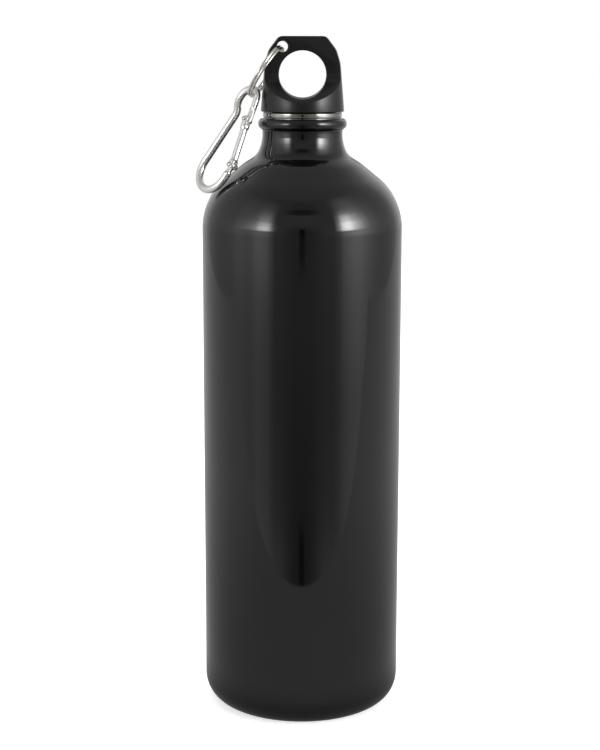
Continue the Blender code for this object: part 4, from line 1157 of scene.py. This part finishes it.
def light_curve(tree, angle, pairs):
    """The strength at an angle, along a row of (degrees, strength) pairs."""
    low, high = pairs[0][0], pairs[-1][0]
    peak = max(strength for _, strength in pairs)
    share = add(tree, "ShaderNodeMapRange", {"Value": angle, "From Min": low, "From Max": high})
    curve = add(tree, "ShaderNodeFloatCurve", {"Value": share})
    line = curve.mapping.curves[0]
    places = [((a - low) / (high - low), s / peak) for a, s in pairs]
    line.points[0].location = places[0]
    line.points[1].location = places[-1]
    for place in places[1:-1]:
        line.points.new(*place)
    for point in line.points:
        point.handle_type = "AUTO_CLAMPED"
    curve.mapping.update()
    return add(tree, "ShaderNodeMath", {0: curve, 1: peak}, operation="MULTIPLY")


def faded(tree, value, low, high, below, above):
    """One strength below an angle, another above a second angle, and a smooth change in between."""
    share = add(tree, "ShaderNodeMapRange", {"Value": value, "From Min": low, "From Max": high},
                interpolation_type="SMOOTHSTEP")
    return add(tree, "ShaderNodeMix", {"Factor": share, 2: below, 3: above}, data_type="FLOAT")


def dimmed(tree, strength, share):
    """A strength with a share of it taken away."""
    left = add(tree, "ShaderNodeMath", {0: 1.0, 1: share}, operation="SUBTRACT")
    return add(tree, "ShaderNodeMath", {0: strength, 1: left}, operation="MULTIPLY")


def studio_world():
    """White for the camera, and soft boxes with dim gaps between them for what the surfaces mirror."""
    world = bpy.data.worlds.new("studio")
    bpy.context.scene.world = world
    world.use_nodes = True
    tree = world.node_tree
    tree.nodes.clear()
    way = add(tree, "ShaderNodeTexCoord")
    x, y, z = add(tree, "ShaderNodeSeparateXYZ", {"Vector": way.outputs["Generated"]}).outputs
    forward = add(tree, "ShaderNodeMath", {0: y, 1: -1.0}, operation="MULTIPLY")
    turn = add(tree, "ShaderNodeMath", {0: x, 1: forward}, operation="ARCTAN2")
    rise = add(tree, "ShaderNodeMath", {0: z}, operation="ARCSINE")
    across = add(tree, "ShaderNodeMath", {0: turn}, operation="DEGREES")
    up = add(tree, "ShaderNodeMath", {0: rise}, operation="DEGREES")
    aside = add(tree, "ShaderNodeMath", {0: across}, operation="ABSOLUTE")
    strength = faded(tree, aside, 6, 32, light_curve(tree, up, CENTRE), light_curve(tree, up, NEAR))
    strength = faded(tree, aside, 30, 70, strength, light_curve(tree, up, SIDES))
    strength = dimmed(tree, strength, faded(tree, aside, 1.5, 5, light_curve(tree, up, GAP_DEPTH), 0.0))
    for wide, tall in (LEFT_BOX, RIGHT_BOX, LEFT_PANEL, RIGHT_PANEL, BACK_PANELS):
        light = add(tree, "ShaderNodeMath", {
            0: light_curve(tree, across, wide), 1: light_curve(tree, up, tall)}, operation="MULTIPLY")
        strength = add(tree, "ShaderNodeMath", {0: strength, 1: light}, operation="ADD")
    strength = dimmed(tree, strength, faded(tree, aside, 163, 173, 0.0, light_curve(tree, up, BACK_GAP)))
    rays = add(tree, "ShaderNodeLightPath").outputs
    seen = add(tree, "ShaderNodeMath", {
        0: rays["Is Camera Ray"], 1: rays["Is Transmission Ray"]}, operation="MAXIMUM")
    shown = add(tree, "ShaderNodeMix", {"Factor": seen, 2: strength, 3: 1.0}, data_type="FLOAT")
    sky = add(tree, "ShaderNodeBackground", {"Color": (1, 1, 1, 1), "Strength": shown})
    add(tree, "ShaderNodeOutputWorld", {"Surface": sky})


def floor_finish():
    """Matt white paint on a board: white to the camera but for the object's shadow. To glossy rays it shows a
    painted reflection instead of its paint under the lamps: a dimmer glow with a painted contact shadow near
    the object and painted light far to the sides."""
    made = bpy.data.materials.new("matt white paint, rolled")
    made.use_nodes = True
    tree = made.node_tree
    tree.nodes.clear()
    place = add(tree, "ShaderNodeTexCoord").outputs["Object"]
    roller = add(tree, "ShaderNodeTexNoise", {"Vector": place, "Scale": 1 / (1.5 * MM), "Detail": 2.0})
    relief = add(tree, "ShaderNodeBump", {"Height": roller, "Strength": 0.05, "Distance": 0.05 * MM})
    paint = add(tree, "ShaderNodeBsdfDiffuse", {"Color": (*colours().floor[:], 1), "Normal": relief})
    glow = add(tree, "ShaderNodeEmission", {"Color": (1, 1, 1, 1), "Strength": 0.6})
    bright = add(tree, "ShaderNodeAddShader", {0: paint, 1: glow})
    parts = add(tree, "ShaderNodeSeparateXYZ", {"Vector": place})
    aside = add(tree, "ShaderNodeMath", {0: parts.outputs["X"]}, operation="ABSOLUTE")
    near = add(tree, "ShaderNodeVectorMath", {0: place}, operation="LENGTH").outputs["Value"]
    # Painted shade and light in what the floor shows to glossy rays: a painted contact shadow, darkest within
    # 3.4 cm of the axis and gone by 8 cm, and painted light that brightens it towards the sides.
    painted_reflection_level = faded(tree, near, 0.034, 0.08, 0.21, faded(tree, aside, 0.08, 0.4, 0.5, 0.68))
    painted_reflection_glow = add(tree, "ShaderNodeEmission", {"Color": (1, 1, 1, 1), "Strength": painted_reflection_level})
    rays = add(tree, "ShaderNodeLightPath")
    mirrored = add(tree, "ShaderNodeMixShader", {0: rays.outputs["Is Glossy Ray"], 1: bright, 2: painted_reflection_glow})
    add(tree, "ShaderNodeOutputMaterial", {"Surface": mirrored})
    return made


class BOTTLE_OT_studio(bpy.types.Operator):
    """Makes the pale floor, the soft studio light and the camera"""

    bl_idname = "bottle.studio"
    bl_label = "Studio"

    def execute(self, context):
        scene = context.scene
        scene.view_settings.view_transform = "Standard"
        mesh = bpy.data.meshes.new("floor")
        wide, deep = 1.2, 2.4
        corners = [(-wide, FLOOR_FRONT, 0), (wide, FLOOR_FRONT, 0), (wide, deep, 0), (-wide, deep, 0)]
        mesh.from_pydata(corners, [], [(0, 1, 2, 3)])
        floor = bpy.data.objects.new("floor", mesh)
        mesh.materials.append(floor_finish())
        scene.collection.objects.link(floor)
        studio_world()
        lamp = bpy.data.lights.new("overhead_box", "AREA")
        lamp.shape = "RECTANGLE"
        lamp.size = 1.6
        lamp.size_y = 1.2
        lamp.energy = 14
        overhead = bpy.data.objects.new("overhead_box", lamp)
        overhead.location = (0, 0.1, 1.7)
        overhead.visible_glossy = False
        scene.collection.objects.link(overhead)
        camera = bpy.data.cameras.new("camera")
        camera.lens = 80.74
        camera.sensor_width = 36
        camera.clip_end = 20
        camera.clip_start = 0.01
        view = bpy.data.objects.new("camera", camera)
        turn = Matrix.Rotation(math.radians(90) - CAMERA_PITCH, 4, "X") @ Matrix.Rotation(CAMERA_ROLL, 4, "Z")
        view.matrix_world = Matrix.Translation(CAMERA_PLACE) @ turn
        scene.collection.objects.link(view)
        scene.camera = view
        return {"FINISHED"}


OPERATORS = (
    BOTTLE_OT_shell,
    BOTTLE_OT_thread_insert,
    BOTTLE_OT_cap,
    BOTTLE_OT_plug_and_seal,
    BOTTLE_OT_split_ring,
    BOTTLE_OT_carabiner_frame,
    BOTTLE_OT_carabiner_gate,
    BOTTLE_OT_pins_and_spring,
    BOTTLE_OT_studio,
)


class BOTTLE_PT_panel(bpy.types.Panel):
    """Lists the sizes, the colours and the pieces of the bottle"""

    bl_idname = "BOTTLE_PT_panel"
    bl_label = "Bottle"
    bl_space_type = "VIEW_3D"
    bl_region_type = "UI"
    bl_category = "Bottle"

    def draw(self, context):
        for group in (context.scene.bottle_sizes, context.scene.bottle_colours):
            column = self.layout.column()
            for name in group.__annotations__:
                column.prop(group, name)
        for operator in OPERATORS:
            self.layout.operator(operator.bl_idname)


CLASSES = (BOTTLE_PG_sizes, BOTTLE_PG_colours, *OPERATORS, BOTTLE_PT_panel)


def register():
    for item in CLASSES:
        bpy.utils.register_class(item)
    bpy.types.Scene.bottle_sizes = PointerProperty(type=BOTTLE_PG_sizes)
    bpy.types.Scene.bottle_colours = PointerProperty(type=BOTTLE_PG_colours)


def unregister():
    del bpy.types.Scene.bottle_colours
    del bpy.types.Scene.bottle_sizes
    for item in reversed(CLASSES):
        bpy.utils.unregister_class(item)


def main():
    register()
    for operator in OPERATORS:
        group, name = operator.bl_idname.split(".")
        getattr(getattr(bpy.ops, group), name)()
    bpy.context.view_layer.update()


if __name__ == "__main__":
    main()
